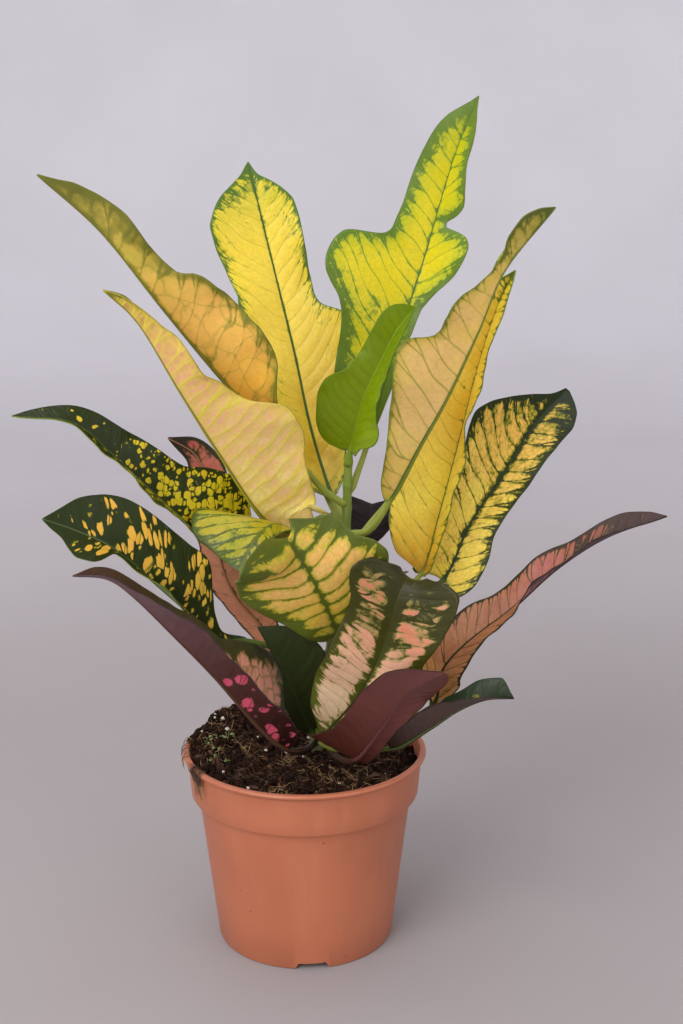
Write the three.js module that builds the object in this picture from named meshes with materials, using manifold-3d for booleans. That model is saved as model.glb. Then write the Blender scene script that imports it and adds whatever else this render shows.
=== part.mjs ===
// Potted croton: a lobed, variegated foliage plant on one leaning stem, in a plastic nursery pot.
// Millimetres, +Z up. The origin is the centre of the pot's foot plane, and -Y is the plant's front.
import * as THREE from 'three';
import { mergeVertices } from 'three/addons/utils/BufferGeometryUtils.js';
import Module from 'manifold-3d';

// Pot, a 14 cm moulded nursery pot.
const RIM_HEIGHT = 113;
const RIM_RADIUS = 70;
const RIM_INNER_RADIUS = 66.4;
const RIM_LIP = 2.4;
const BAND_TOP_RADIUS = 67.4;
const BAND_BOTTOM_RADIUS = 65.6;
const BAND_BOTTOM_HEIGHT = 87.5;
const BODY_TOP_RADIUS = 61.8;
const BODY_BOTTOM_RADIUS = 51.3;
const WALL = 1.3;
const BASE_UNDERSIDE = 4;
const BASE_THICKNESS = 1.6;
const FOOT_WIDTH = 4.2;
const CENTRE_FOOT_RADIUS = 10;
const POT_SEGMENTS = 54;
const FOOT_NOTCHES = 3;
const NOTCH_TOP_WIDTH = 15.5;
const NOTCH_BOTTOM_WIDTH = 20;
const NOTCH_HEIGHT = 3.8;
const FRONT_NOTCH_ANGLE = -84.5;
const DRAIN_HOLES = 6;
const DRAIN_RADIUS = 4.2;
const DRAIN_CIRCLE = 36;

// Compost, lowest on the right and heaped at the back left, where it spills on to the rim.
const GAP = 0.3;
const SOIL_LEVEL = 107;
const SOIL_TILT = 3.5;
const SOIL_CROWN = 3;
const HEAP_PLACE = [-42, 24];
const HEAP_HEIGHT = 14;
const HEAP_SPREAD = 21;
const CLOD_HEIGHT = 1.4;
const SPILL_REACH = 3.1;
const SOIL_SEGMENTS = 40;
const SOIL_RINGS = [62, 54, 45, 36, 27, 18, 11];

// Stem: centre line, and the radius at its foot and at its tip.
const STEM_LINE = [
  [6, 4, 80], [6, 4, 104], [9, 3, 130], [14, 2, 160],
  [18, 1, 190], [22, 0, 220], [24, 0, 250], [25, -1, 284],
];
const STEM_FOOT_RADIUS = 4.8;
const STEM_TIP_RADIUS = 2.5;
const STEM_SIDES = 12;
const STEM_STEP = 9;
const HOLE_RADIUS = 5.3;

// Leaves.
const BLADE = 0.7;
const PETIOLE_RADIUS = 1.7;
const RIB_DEPTH = 1.1;
const HALF_COLUMNS = 3;
const RING_STEP = 11;
const PETIOLE_RINGS = 4;
const PETIOLE_FAN = 80 * (Math.PI / 180);
const SEAT_CLEARANCE = 0.45;
const BLEND_LENGTH = 0.07;
const LEVEL_SWEEP = [[0], [0]];

const LINE_DIVISIONS = 400;
const DEG = Math.PI / 180;

// Each leaf: height of its root on the stem, spine points from petiole to tip, the index of the spine
// point where the blade starts, the way the upper face looks (from blade base to tip), the fold of
// its left and right halves in degrees, and its outline as [share of blade length, left, right half
// width]. Left and right are as seen on the upper face with the tip up. wave is [height, count].
// sweep, from base to tip, is how far the margin runs ahead of the midrib, as a share of the width.
const LEAVES = [
  {
    name: 'leaf_young',
    root: 281,
    spine: [[26, -8, 288], [29, -12, 301], [34, -16, 320], [42, -19, 338], [50, -20, 354],
      [60, -18, 367]],
    blade: 1,
    face: [[-0.3, -1, 0.2], [-0.3, -1, 0.2], [-0.3, -1, 0.2]],
    fold: [[20, 40], [20, 40], [20, 35]],
    outline: [[0, 3, 3], [0.1, 18, 9], [0.26, 23, 12], [0.4, 22, 15], [0.52, 13, 15], [0.75, 12, 9],
      [0.92, 10, 5], [1, 1, 1]],
    wave: [1.5, 3],
    colour: 0x6cae2e,
  },
  {
    name: 'leaf_crown_lobed',
    root: 266,
    spine: [[35, 12, 286], [47, 21, 326], [60, 28, 367], [68, 32, 392], [76, 34, 420], [84, 31, 447],
      [95, 24, 476]],
    blade: 1,
    face: [[0.1, -1, 0.2], [0, -1, 0.2], [-0.5, -0.85, 0]],
    fold: [[15, 55], [12, 30], [20, 45]],
    sweep: [[0], [0], [0.2], [0.1], [0]],
    outline: [[0, 2, 2], [0.1, 22, 4], [0.26, 33, 7], [0.38, 42, 9], [0.45, 52, 16], [0.51, 52, 25],
      [0.565, 27, 29], [0.64, 21.5, 12], [0.75, 20, 17], [0.86, 16, 13], [0.95, 7, 7], [1, 0.8, 0.8]],
    wave: [2, 4],
    colour: 0xd9cf2c,
  },
  {
    name: 'leaf_upper_left',
    root: 250,
    spine: [[16, 13, 258], [9, 26, 276], [2, 35, 300], [-6, 46, 336], [-19, 57, 388], [-32, 62, 442]],
    blade: 1,
    face: [[0.1, -1, 0.2], [0.1, -1, 0.2]],
    fold: [[15, 15], [10, 10]],
    outline: [[0, 3, 3], [0.05, 13, 12], [0.14, 16, 17], [0.3, 19, 23], [0.45, 22, 30], [0.53, 23, 27],
      [0.6, 24.5, 18.5], [0.72, 28, 20.5], [0.83, 31, 21.5], [0.92, 22, 15], [0.97, 5, 4],
      [1, 0.8, 0.8]],
    wave: [2, 4],
    colour: 0xe0d430,
  },
  {
    name: 'leaf_left_long',
    root: 258,
    spine: [[11, -10, 267], [-5, -26, 289], [-40, -56, 335], [-66, -78, 372], [-91, -96, 408],
      [-117, -108, 434]],
    blade: 2,
    face: [[0.5, 0.4, 0.75], [0.5, 0.3, 0.8]],
    fold: [[50, 50], [45, 45]],
    outline: [[0, 2, 2], [0.1, 9, 7], [0.18, 15.5, 12], [0.26, 26, 18], [0.36, 32, 22], [0.5, 30, 20],
      [0.58, 26, 18], [0.67, 15.5, 13], [0.8, 15.5, 12], [0.9, 11.5, 9], [0.96, 5.5, 5], [1, 0.8, 0.8]],
    wave: [2, 5],
    colour: 0xd9a860,
  },
  {
    name: 'leaf_left_peach',
    root: 234,
    spine: [[-2, -4, 239], [-22, -8, 251], [-43, -43, 294], [-59, -72, 330], [-75, -94, 365],
      [-89, -107, 382]],
    blade: 1,
    face: [[0.5, 0.2, 0.8], [0.5, 0.3, 0.8]],
    fold: [[45, 45], [45, 40]],
    outline: [[0, 3, 3], [0.06, 22, 7], [0.18, 29, 12], [0.3, 36, 15], [0.42, 43, 17], [0.5, 43, 17],
      [0.58, 29, 16], [0.68, 19, 14], [0.82, 13, 14], [0.92, 9, 11], [1, 0.8, 0.8]],
    wave: [2, 4],
    colour: 0xe3b46e,
  },
  {
    name: 'leaf_right_peach',
    root: 240,
    spine: [[37, -13, 245], [47, -27, 264], [61, -44, 296], [75, -56, 325], [89, -66, 359],
      [101, -70, 389], [124, -73, 419]],
    blade: 2,
    face: [[-0.7, 0.1, 0.6], [-0.6, 0.2, 0.7]],
    fold: [[40, 55], [40, 55]],
    outline: [[0, 2, 2], [0.1, 10, 10], [0.22, 15, 16], [0.34, 20, 24], [0.44, 24, 31], [0.5, 25, 33],
      [0.58, 22, 24], [0.68, 15, 13], [0.8, 10, 7], [0.9, 9, 9], [0.96, 5, 5.5], [1, 0.8, 0.8]],
    wave: [2, 4],
    colour: 0xdcb169,
  },
  {
    name: 'leaf_right_yellow',
    root: 206,
    spine: [[48, 14, 202], [67, 18, 211], [77, 20, 245], [88, 16, 292], [96, 10, 330], [106, 2, 367],
      [114, -3, 385]],
    blade: 2,
    face: [[0.2, -1, 0.2], [0.1, -1, 0.2], [0, -1, 0.2]],
    fold: [[15, 70], [15, 88], [20, 55]],
    outline: [[0, 3, 3], [0.05, 21, 6], [0.18, 31, 11], [0.32, 32, 13], [0.5, 28, 13], [0.7, 20, 9],
      [0.85, 12, 8], [0.95, 6, 5], [1, 0.8, 0.8]],
    wave: [2, 4],
    colour: 0xe2cc26,
  },
  {
    name: 'leaf_right_spotted',
    root: 196,
    spine: [[55, 18, 194], [80, 26, 205], [96, 34, 237], [112, 40, 260], [133, 46, 293],
      [152, 48, 314]],
    blade: 2,
    face: [[-0.1, -1, 0.2], [-0.1, -1, 0.3]],
    fold: [[15, 15], [10, 10]],
    outline: [[0, 3, 3], [0.05, 12, 13], [0.15, 20, 18], [0.35, 27, 15.5], [0.55, 31, 16],
      [0.74, 30, 18], [0.84, 20, 19], [0.92, 9, 17], [0.975, 4, 11], [1, 1, 2]],
    wave: [1.5, 3],
    colour: 0xc7b53a,
  },
  {
    name: 'leaf_right_low',
    root: 136,
    spine: [[46, -12, 133], [72, -16, 143], [78, -14, 164], [92, -10, 179], [117, -4, 197],
      [143, 2, 219], [171, 6, 236], [204, 6, 248]],
    blade: 2,
    face: [[-0.3, -1, 0.3], [-0.4, -0.7, 0.7], [-0.5, -0.2, 0.85], [-0.5, -0.2, 0.85], [-0.4, -0.4, 0.8]],
    fold: [[10, 10], [15, 30], [40, 38], [40, 38], [35, 35]],
    outline: [[0, 2, 2], [0.04, 6, 7], [0.1, 11, 14], [0.18, 14, 14], [0.3, 17, 14], [0.42, 13, 15],
      [0.58, 13, 12], [0.72, 9, 9], [0.86, 10, 8], [0.95, 6, 5], [1, 0.8, 0.8]],
    wave: [1.2, 4],
    colour: 0xc78f6c,
  },
  {
    name: 'leaf_right_bottom',
    root: 125,
    spine: [[32, -24, 123], [49, -36, 126], [69, -48, 143], [83, -56, 156], [97, -61, 164],
      [112, -64, 166]],
    blade: 2,
    face: [[-0.4, 0, 1], [-0.4, 0, 1], [-0.2, -0.3, 1]],
    fold: [[45, 50], [45, 50], [60, 40]],
    outline: [[0, 2, 2], [0.12, 8, 13], [0.3, 12, 17], [0.5, 11, 15], [0.68, 9, 13], [0.82, 11, 10],
      [0.92, 11, 6], [1, 1, 1]],
    wave: [1, 2],
    colour: 0x5d3a3d,
  },
  {
    name: 'leaf_front_maroon',
    root: 119.5,
    spine: [[18, -27, 118], [28, -44, 123], [42, -57, 146], [56, -67, 170], [75, -73, 183]],
    blade: 2,
    face: [[-0.4, 0.9, 0.3], [-0.5, 0.7, 0.6], [-0.5, 0.6, 0.7]],
    fold: [[-20, 25], [-20, 25], [-10, 30]],
    outline: [[0, 4, 6], [0.05, 8, 25], [0.2, 11, 22], [0.45, 12, 22.5], [0.68, 11, 21], [0.82, 9, 14],
      [0.93, 6, 6], [1, 1, 1]],
    wave: [1, 2],
    colour: 0x5a2127,
  },
  {
    name: 'leaf_front_pink',
    root: 131,
    spine: [[9, -20, 127], [19, -32, 141], [33, -42, 164], [45, -50, 195], [51, -53, 218],
      [56, -49, 227], [60, -36, 222]],
    blade: 1,
    face: [[-0.1, -1, 0.3], [0, -1, 0.3], [0.1, -0.6, 1]],
    fold: [[15, 15], [15, 20], [5, 5]],
    sweep: [[0], [0], [0], [0.25], [0.95], [0.5]],
    outline: [[0, 4, 4], [0.06, 18, 12], [0.16, 26, 20], [0.31, 29, 23], [0.46, 28, 26], [0.6, 27, 29],
      [0.72, 27, 31], [0.79, 25, 24], [0.84, 14, 12], [0.88, 7, 7], [0.94, 6, 6], [1, 1, 1]],
    wave: [1.2, 3],
    colour: 0xb9916f,
  },
  {
    name: 'leaf_front_green',
    root: 184,
    spine: [[20, -24, 188], [9, -41, 218], [0, -50, 238], [-7, -55, 249], [-10, -48, 248],
      [-11, -41, 240]],
    blade: 1,
    face: [[0, -1, 0.3], [0, -1, 0.4], [0, 0, 1]],
    fold: [[10, 10], [15, 15], [0, 0]],
    outline: [[0, 3, 3], [0.1, 15, 17], [0.24, 22, 31], [0.38, 30, 41], [0.48, 38, 42], [0.6, 43, 33],
      [0.71, 44, 27], [0.79, 22, 14], [0.86, 10, 9], [0.94, 7, 7], [1, 1, 1]],
    wave: [1.2, 3],
    colour: 0xa9a640,
  },
  {
    name: 'leaf_front_folded',
    root: 212,
    spine: [[6, -13, 232], [-5, -20, 246], [-15, -29, 252], [-24, -40, 247], [-33, -48, 231]],
    blade: 1,
    face: [[-0.5, 0.6, 0.6], [-0.1, -0.4, 0.9], [-0.2, -0.8, 0.5]],
    fold: [[-10, -8], [-20, -8], [0, -5]],
    sweep: [[0.3], [0.65], [0.5]],
    outline: [[0, 3, 3], [0.15, 6, 18], [0.32, 8, 31], [0.46, 9, 38], [0.58, 9, 34], [0.75, 8, 22],
      [0.9, 5, 10], [1, 1, 1]],
    wave: [1, 2],
    colour: 0x9bb53a,
  },
  {
    name: 'leaf_left_purple',
    root: 115.5,
    spine: [[1, -22, 120], [-9, -32, 124], [-24, -44, 143], [-45, -60, 176], [-65, -74, 204],
      [-83, -86, 228], [-95, -92, 239], [-111, -97, 242]],
    blade: 2,
    face: [[0.4, 0.2, 1], [0.4, 0.1, 1], [0.3, -0.2, 1]],
    fold: [[50, 50], [50, 50], [40, 40]],
    outline: [[0, 3, 4], [0.06, 15, 24], [0.16, 18, 32], [0.3, 16, 29], [0.42, 16, 20], [0.56, 17, 15],
      [0.66, 15, 12.5], [0.76, 10, 9], [0.84, 4, 7], [0.93, 3, 5.5], [1, 0.8, 0.8]],
    wave: [1, 4],
    colour: 0x6a3f48,
  },
  {
    name: 'leaf_left_spotted_low',
    root: 158,
    spine: [[-16, -14, 177], [-32, -22, 184], [-47, -32, 189], [-60, -42, 206], [-74, -52, 223],
      [-95, -62, 246], [-112, -68, 257], [-130, -72, 265]],
    blade: 2,
    face: [[0.1, -1, 0.5], [0.1, -1, 0.5]],
    fold: [[20, 10], [60, 10], [90, 10], [30, 10], [10, 10]],
    outline: [[0, 2, 2], [0.1, 5, 5], [0.2, 8, 9], [0.3, 10, 18], [0.42, 12, 27], [0.58, 11, 26],
      [0.74, 12, 26], [0.83, 13, 21], [0.91, 8, 14], [0.965, 4, 5], [1, 0.8, 0.8]],
    wave: [1.5, 3],
    colour: 0x3f5a2a,
  },
  {
    name: 'leaf_left_spotted',
    root: 200,
    spine: [[-4, -4, 207], [-30, -2, 218], [-55, -14, 241], [-78, -27, 267], [-98, -37, 290],
      [-118, -43, 309], [-149, -45, 313]],
    blade: 2,
    face: [[0.2, -1, 0.6], [0.2, -1, 0.6], [0.1, -0.8, 0.8]],
    fold: [[65, 10], [65, 10], [50, 10]],
    outline: [[0, 2, 2], [0.08, 8, 22], [0.18, 12, 34], [0.28, 13, 36], [0.36, 13, 31], [0.44, 13, 22],
      [0.58, 12, 18], [0.74, 9, 12], [0.86, 7, 8], [0.95, 4, 4], [1, 0.8, 0.8]],
    wave: [1.2, 4],
    colour: 0x4b6526,
  },
  {
    name: 'leaf_rear_left',
    root: 168,
    spine: [[-11, 7, 166], [-27, 12, 184], [-42, 10, 205], [-50, 12, 232], [-54, 16, 261],
      [-61, 20, 280], [-77, 22, 290]],
    blade: 1,
    face: [[0.3, 1, 0.2], [0.5, 0.9, 0.2]],
    fold: [[10, 10], [10, 10]],
    outline: [[0, 2, 2], [0.08, 8, 9], [0.2, 12, 12], [0.4, 14, 14], [0.6, 15, 15], [0.76, 14, 14],
      [0.9, 9, 8], [0.96, 4, 4], [1, 0.8, 0.8]],
    wave: [1.2, 4],
    colour: 0xa87858,
  },
  {
    name: 'leaf_low_green',
    root: 124.5,
    spine: [[4, -12, 127], [-2, -18, 144], [-9, -22, 163], [-18, -24, 182], [-25, -22, 192]],
    blade: 1,
    face: [[0, -1, 0.4], [0, -1, 0.4]],
    fold: [[10, 10], [10, 10]],
    outline: [[0, 3, 3], [0.12, 8, 11], [0.35, 10, 20], [0.62, 11, 25], [0.85, 8, 16], [1, 1, 1]],
    wave: [1, 2],
    colour: 0x2c4620,
  },
  {
    name: 'leaf_back_dark',
    root: 216,
    spine: [[33, 24, 222], [37, 46, 228], [39, 78, 232], [40, 106, 232], [42, 130, 227]],
    blade: 1,
    face: [[0, -0.4, 1], [0, -0.2, 1]],
    fold: [[20, 20], [15, 15]],
    outline: [[0, 2, 2], [0.15, 10, 10], [0.4, 17, 16], [0.65, 16, 15], [0.85, 11, 10], [1, 0.8, 0.8]],
    wave: [2, 3],
    colour: 0x2f3420,
  },
  {
    name: 'leaf_back_left_high',
    root: 243,
    spine: [[12, 22, 258], [-8, 52, 300], [-24, 82, 346], [-38, 108, 382]],
    blade: 1,
    face: [[0.3, -0.9, 0.6], [0.3, -0.8, 0.6]],
    fold: [[25, 25], [15, 15]],
    outline: [[0, 2, 2], [0.12, 12, 12], [0.35, 21, 20], [0.6, 18, 20], [0.8, 15, 16], [0.94, 6, 6],
      [1, 0.8, 0.8]],
    wave: [2, 4],
    colour: 0xbfb53a,
  },
  {
    name: 'leaf_back_right_high',
    root: 228,
    spine: [[36, 14, 240], [53, 32, 258], [72, 60, 290], [90, 88, 322], [102, 112, 348]],
    blade: 2,
    face: [[-0.5, -0.7, 0.7], [-0.4, -0.7, 0.7]],
    fold: [[20, 20], [15, 15]],
    outline: [[0, 2, 2], [0.12, 11, 11], [0.35, 19, 18], [0.55, 15, 18], [0.8, 14, 13], [0.94, 6, 6],
      [1, 0.8, 0.8]],
    wave: [2, 4],
    colour: 0xb6a83c,
  },
  {
    name: 'leaf_back_left_low',
    root: 176,
    spine: [[10, 24, 186], [1, 56, 204], [-7, 92, 218], [-14, 124, 220]],
    blade: 1,
    face: [[0.1, -0.4, 1], [0.1, -0.1, 1]],
    fold: [[20, 20], [15, 15]],
    outline: [[0, 2, 2], [0.12, 11, 11], [0.35, 19, 18], [0.6, 18, 19], [0.82, 13, 14], [0.94, 6, 6],
      [1, 0.8, 0.8]],
    wave: [2, 4],
    colour: 0x51632a,
  },
  {
    name: 'leaf_back_right_low',
    root: 150,
    spine: [[23, 22, 160], [37, 55, 176], [50, 90, 186], [58, 118, 184]],
    blade: 1,
    face: [[-0.2, -0.3, 1], [-0.2, 0, 1]],
    fold: [[20, 20], [15, 15]],
    outline: [[0, 2, 2], [0.12, 10, 10], [0.35, 17, 17], [0.6, 17, 16], [0.82, 12, 12], [0.94, 5, 5],
      [1, 0.8, 0.8]],
    wave: [2, 3],
    colour: 0x4c3a2a,
  },
];

/** Interpolates a table of rows [share, values...] at x, column by column, with no overshoot. */
function readTable(rows, x, column) {
  const at = (i) => rows[i][column];
  const last = rows.length - 1;
  let k = 0;
  while (k < last - 1 && x > rows[k + 1][0]) k += 1;
  const slopeOf = (i) => (at(i + 1) - at(i)) / (rows[i + 1][0] - rows[i][0]);
  const tangent = (i) => {
    if (i === 0) return slopeOf(0);
    if (i === last) return slopeOf(last - 1);
    const before = slopeOf(i - 1);
    const after = slopeOf(i);
    return before * after <= 0 ? 0 : (2 * before * after) / (before + after);
  };
  const span = rows[k + 1][0] - rows[k][0];
  const t = THREE.MathUtils.clamp((x - rows[k][0]) / span, 0, 1);
  const t2 = t * t;
  const t3 = t2 * t;
  return (2 * t3 - 3 * t2 + 1) * at(k) + (t3 - 2 * t2 + t) * span * tangent(k)
    + (3 * t2 - 2 * t3) * at(k + 1) + (t3 - t2) * span * tangent(k + 1);
}

/** Reads an evenly spaced list of number lists at share x, straight between its entries. */
function readEven(list, x) {
  const place = THREE.MathUtils.clamp(x, 0, 1) * (list.length - 1);
  const k = Math.min(Math.floor(place), list.length - 2);
  return list[k].map((value, i) => THREE.MathUtils.lerp(value, list[k + 1][i], place - k));
}

/** A closed body from equal loops of points: quads between loops, a fan at each end. */
function loft(loops, columns) {
  const size = loops[0].length;
  const positions = loops.flat().flatMap((p) => [p.x, p.y, p.z]);
  const faces = [];
  const id = (ring, k) => ring * size + (k % size);
  for (let ring = 0; ring < loops.length - 1; ring += 1) {
    for (let k = 0; k < size; k += 1) {
      const a = id(ring, k);
      const b = id(ring, k + 1);
      const c = id(ring + 1, k + 1);
      const d = id(ring + 1, k);
      const under = columns > 0 && k >= columns;
      if (under) faces.push(a, b, d, b, c, d);
      else faces.push(a, b, c, a, c, d);
    }
  }
  const addCap = (ring, flip) => {
    const centre = loops[ring].reduce((sum, p) => sum.add(p), new THREE.Vector3()).divideScalar(size);
    const hub = positions.length / 3;
    positions.push(centre.x, centre.y, centre.z);
    for (let k = 0; k < size; k += 1) {
      if (flip) faces.push(hub, id(ring, k), id(ring, k + 1));
      else faces.push(hub, id(ring, k + 1), id(ring, k));
    }
  };
  addCap(0, false);
  addCap(loops.length - 1, true);
  return facingOut(positions, faces);
}

/** Builds a geometry and turns its faces over where they point inwards. */
function facingOut(positions, faces) {
  let volume = 0;
  const p = (i) => new THREE.Vector3(positions[3 * i], positions[3 * i + 1], positions[3 * i + 2]);
  for (let i = 0; i < faces.length; i += 3) {
    volume += p(faces[i]).dot(p(faces[i + 1]).cross(p(faces[i + 2])));
  }
  const index = [...faces];
  if (volume < 0) index.reverse();
  const geometry = new THREE.BufferGeometry();
  geometry.setAttribute('position', new THREE.Float32BufferAttribute(positions, 3));
  geometry.setIndex(index);
  return geometry;
}

const vector = (p) => new THREE.Vector3(p[0], p[1], p[2]);

/** A smooth line through points, read by distance along it. */
class Line {
  constructor(points) {
    this.curve = new THREE.CatmullRomCurve3(points.map(vector), false, 'catmullrom', 0.5);
    this.curve.arcLengthDivisions = LINE_DIVISIONS;
    this.total = this.curve.getLength();
    const lengths = this.curve.getLengths();
    this.reach = points.map((_, i) => lengths[Math.round((i * LINE_DIVISIONS) / (points.length - 1))]);
  }

  point(distance) {
    return this.curve.getPointAt(THREE.MathUtils.clamp(distance / this.total, 0, 1));
  }

  tangent(distance) {
    const step = 1;
    return this.point(distance + step).sub(this.point(distance - step)).normalize();
  }
}

/** Stem axis point and radius at a height. */
function stemAt(height) {
  const line = new Line(STEM_LINE);
  let low = 0;
  let high = line.total;
  for (let i = 0; i < 30; i += 1) {
    const middle = (low + high) / 2;
    if (line.point(middle).z < height) low = middle;
    else high = middle;
  }
  return { centre: line.point(low), radius: stemRadius(low / line.total) };
}

const stemRadius = (share) => THREE.MathUtils.lerp(STEM_FOOT_RADIUS, STEM_TIP_RADIUS, share);

function stem() {
  const line = new Line(STEM_LINE);
  const rings = Math.round(line.total / STEM_STEP);
  const ring = (distance, radius) => {
    const along = line.tangent(distance);
    const side = new THREE.Vector3(1, 0, 0).addScaledVector(along, -along.x).normalize();
    const across = along.clone().cross(side);
    return Array.from({ length: STEM_SIDES }, (_, k) => {
      const angle = (2 * Math.PI * k) / STEM_SIDES;
      return line.point(distance)
        .addScaledVector(side, radius * Math.cos(angle))
        .addScaledVector(across, radius * Math.sin(angle));
    });
  };
  const loops = [];
  for (let i = 0; i <= rings; i += 1) {
    loops.push(ring((line.total * i) / rings, stemRadius(i / rings)));
  }
  const bud = ring(line.total, STEM_TIP_RADIUS * 0.45).map((p) => p.add(new THREE.Vector3(0, 0, 2.4)));
  loops.push(bud);
  return loft(loops, 0);
}

/** One leaf: round petiole and thin folded blade in one closed body, its root just off the stem. */
function leaf(spec) {
  const seat = stemAt(spec.root);
  const first = vector(spec.spine[0]);
  const away = first.clone().sub(seat.centre);
  const slant = Math.abs(away.clone().normalize().z);
  const flat = new THREE.Vector3(away.x, away.y, 0).normalize();
  const root = seat.centre.clone()
    .addScaledVector(flat, seat.radius + PETIOLE_RADIUS * slant + SEAT_CLEARANCE);
  const line = new Line([root.toArray(), ...spec.spine]);
  const start = line.reach[spec.blade];
  const length = line.total - start;
  const bladeRings = Math.max(8, Math.round(length / RING_STEP));
  const stations = [];
  for (let i = 0; i < PETIOLE_RINGS; i += 1) stations.push((start * i) / PETIOLE_RINGS);
  for (let i = 0; i <= bladeRings; i += 1) stations.push(start + (length * i) / bladeRings);
  const columns = Array.from({ length: 2 * HALF_COLUMNS + 1 }, (_, j) => j / HALF_COLUMNS - 1);

  const frames = stations.map((distance) => {
    const share = THREE.MathUtils.clamp((distance - start) / length, 0, 1);
    const along = line.tangent(distance);
    const up = vector(readEven(spec.face, share));
    up.addScaledVector(along, -up.dot(along)).normalize();
    return { share, along, up, right: along.clone().cross(up), centre: line.point(distance) };
  });

  const middle = frames.map(({ share, along, up, right, centre }, i) => columns.map((u) => {
    if (i < PETIOLE_RINGS) {
      return centre.clone().addScaledVector(right, PETIOLE_RADIUS * Math.sin(u * PETIOLE_FAN));
    }
    const side = Math.sign(u);
    const out = Math.abs(u);
    const width = readTable(spec.outline, share, u < 0 ? 1 : 2);
    const fold = readEven(spec.fold, share)[u < 0 ? 0 : 1] * DEG;
    const [height, count] = spec.wave;
    const ahead = readEven(spec.sweep ?? LEVEL_SWEEP, share)[0] * width * out * out;
    const swell = Math.min(1, width / 12) * Math.sin(Math.PI * share);
    const wave = height * swell * out * out * Math.sin(2 * Math.PI * count * share + side);
    return centre.clone()
      .addScaledVector(along, ahead)
      .addScaledVector(right, side * width * out * Math.cos(fold) - side * wave * Math.sin(fold))
      .addScaledVector(up, width * out * Math.sin(fold) + wave * Math.cos(fold));
  }));

  const normalAt = (i, j) => {
    const rows = middle.length - 1;
    const last = columns.length - 1;
    const lengthwise = middle[Math.min(i + 1, rows)][j].clone().sub(middle[Math.max(i - 1, 0)][j]);
    const crosswise = middle[i][Math.min(j + 1, last)].clone().sub(middle[i][Math.max(j - 1, 0)]);
    return crosswise.cross(lengthwise).normalize();
  };

  const loops = frames.map(({ share, up }, i) => {
    const blend = i < PETIOLE_RINGS ? 0 : THREE.MathUtils.smoothstep(share, 0, BLEND_LENGTH);
    const top = [];
    const bottom = [];
    columns.forEach((u, j) => {
      const round = up.clone().multiplyScalar(PETIOLE_RADIUS * Math.cos(u * PETIOLE_FAN));
      const normal = blend > 0 ? normalAt(i, j) : up.clone();
      const rib = u === 0 ? RIB_DEPTH * (1 - share) : 0;
      const above = round.clone().lerp(normal.clone().multiplyScalar(BLADE / 2), blend);
      const below = round.clone().lerp(normal.clone().multiplyScalar(BLADE / 2 + rib), blend);
      top.push(middle[i][j].clone().add(above));
      bottom.push(middle[i][j].clone().sub(below));
    });
    return [...top, ...bottom.reverse()];
  });
  return loft(loops, columns.length);
}

/** Height of the compost at a place: tilted, crowned, with one heap and low clods. */
function soilHeight(x, y) {
  const reach = Math.hypot(x, y) / RIM_INNER_RADIUS;
  const fromHeap = Math.hypot(x - HEAP_PLACE[0], y - HEAP_PLACE[1]) / HEAP_SPREAD;
  const clods = CLOD_HEIGHT * (Math.sin(x * 0.31 + 1.3) * Math.sin(y * 0.37 + 0.4)
    + 0.6 * Math.sin(x * 0.73 - y * 0.52 + 2.1));
  return SOIL_LEVEL - (SOIL_TILT * x) / RIM_INNER_RADIUS + SOIL_CROWN * (1 - reach * reach)
    + HEAP_HEIGHT * Math.exp(-0.5 * fromHeap * fromHeap) + clods;
}

/** Inner radius of the pot's tapering body at a height. */
function innerRadius(z) {
  return THREE.MathUtils.lerp(BODY_BOTTOM_RADIUS, BODY_TOP_RADIUS, z / BAND_BOTTOM_HEIGHT) - WALL;
}

function soil() {
  const floor = BASE_UNDERSIDE + BASE_THICKNESS + GAP;
  const step = BAND_BOTTOM_HEIGHT + WALL + 1;
  const lip = RIM_HEIGHT + 0.5;
  const side = RIM_INNER_RADIUS - RIM_LIP / 2 - GAP;
  const [stemX, stemY] = STEM_LINE[0];
  const rings = [];
  const ring = (reach, height, cx = 0, cy = 0) => {
    rings.push(Array.from({ length: SOIL_SEGMENTS }, (_, k) => {
      const angle = (2 * Math.PI * k) / SOIL_SEGMENTS;
      const r = typeof reach === 'function' ? reach(angle) : reach;
      const x = cx + r * Math.cos(angle);
      const y = cy + r * Math.sin(angle);
      return new THREE.Vector3(x, y, typeof height === 'function' ? height(x, y, angle) : height);
    }));
  };
  const edge = (angle) => soilHeight(side * Math.cos(angle), side * Math.sin(angle));
  const spill = (angle) => THREE.MathUtils.smoothstep(edge(angle), lip + 0.2, lip + 2);
  ring(innerRadius(floor) - 3, floor);
  ring(innerRadius(floor + 3) - GAP, floor + 3);
  ring(innerRadius(BAND_BOTTOM_HEIGHT) - GAP - 0.2, BAND_BOTTOM_HEIGHT - 1);
  ring(innerRadius(BAND_BOTTOM_HEIGHT) - GAP - 0.2, step - 1);
  ring(side - 1, step + 4);
  ring(side, (x, y, angle) => Math.min(edge(angle) - 1.2, RIM_HEIGHT - 0.6));
  ring(side, (x, y, angle) => THREE.MathUtils.lerp(edge(angle) - 0.8, lip, spill(angle)));
  ring((angle) => side + SPILL_REACH * spill(angle), (x, y, angle) => (
    THREE.MathUtils.lerp(edge(angle) - 0.4, lip + 0.8, spill(angle))));
  SOIL_RINGS.forEach((reach) => {
    const shift = 1 - (reach - HOLE_RADIUS) / (side - HOLE_RADIUS);
    ring(reach, (x, y) => soilHeight(x, y), stemX * shift, stemY * shift);
  });
  ring(HOLE_RADIUS, (x, y) => soilHeight(x, y), stemX, stemY);
  ring(HOLE_RADIUS, STEM_LINE[0][2] - GAP, stemX, stemY);
  return loft(rings, 0);
}

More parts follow.
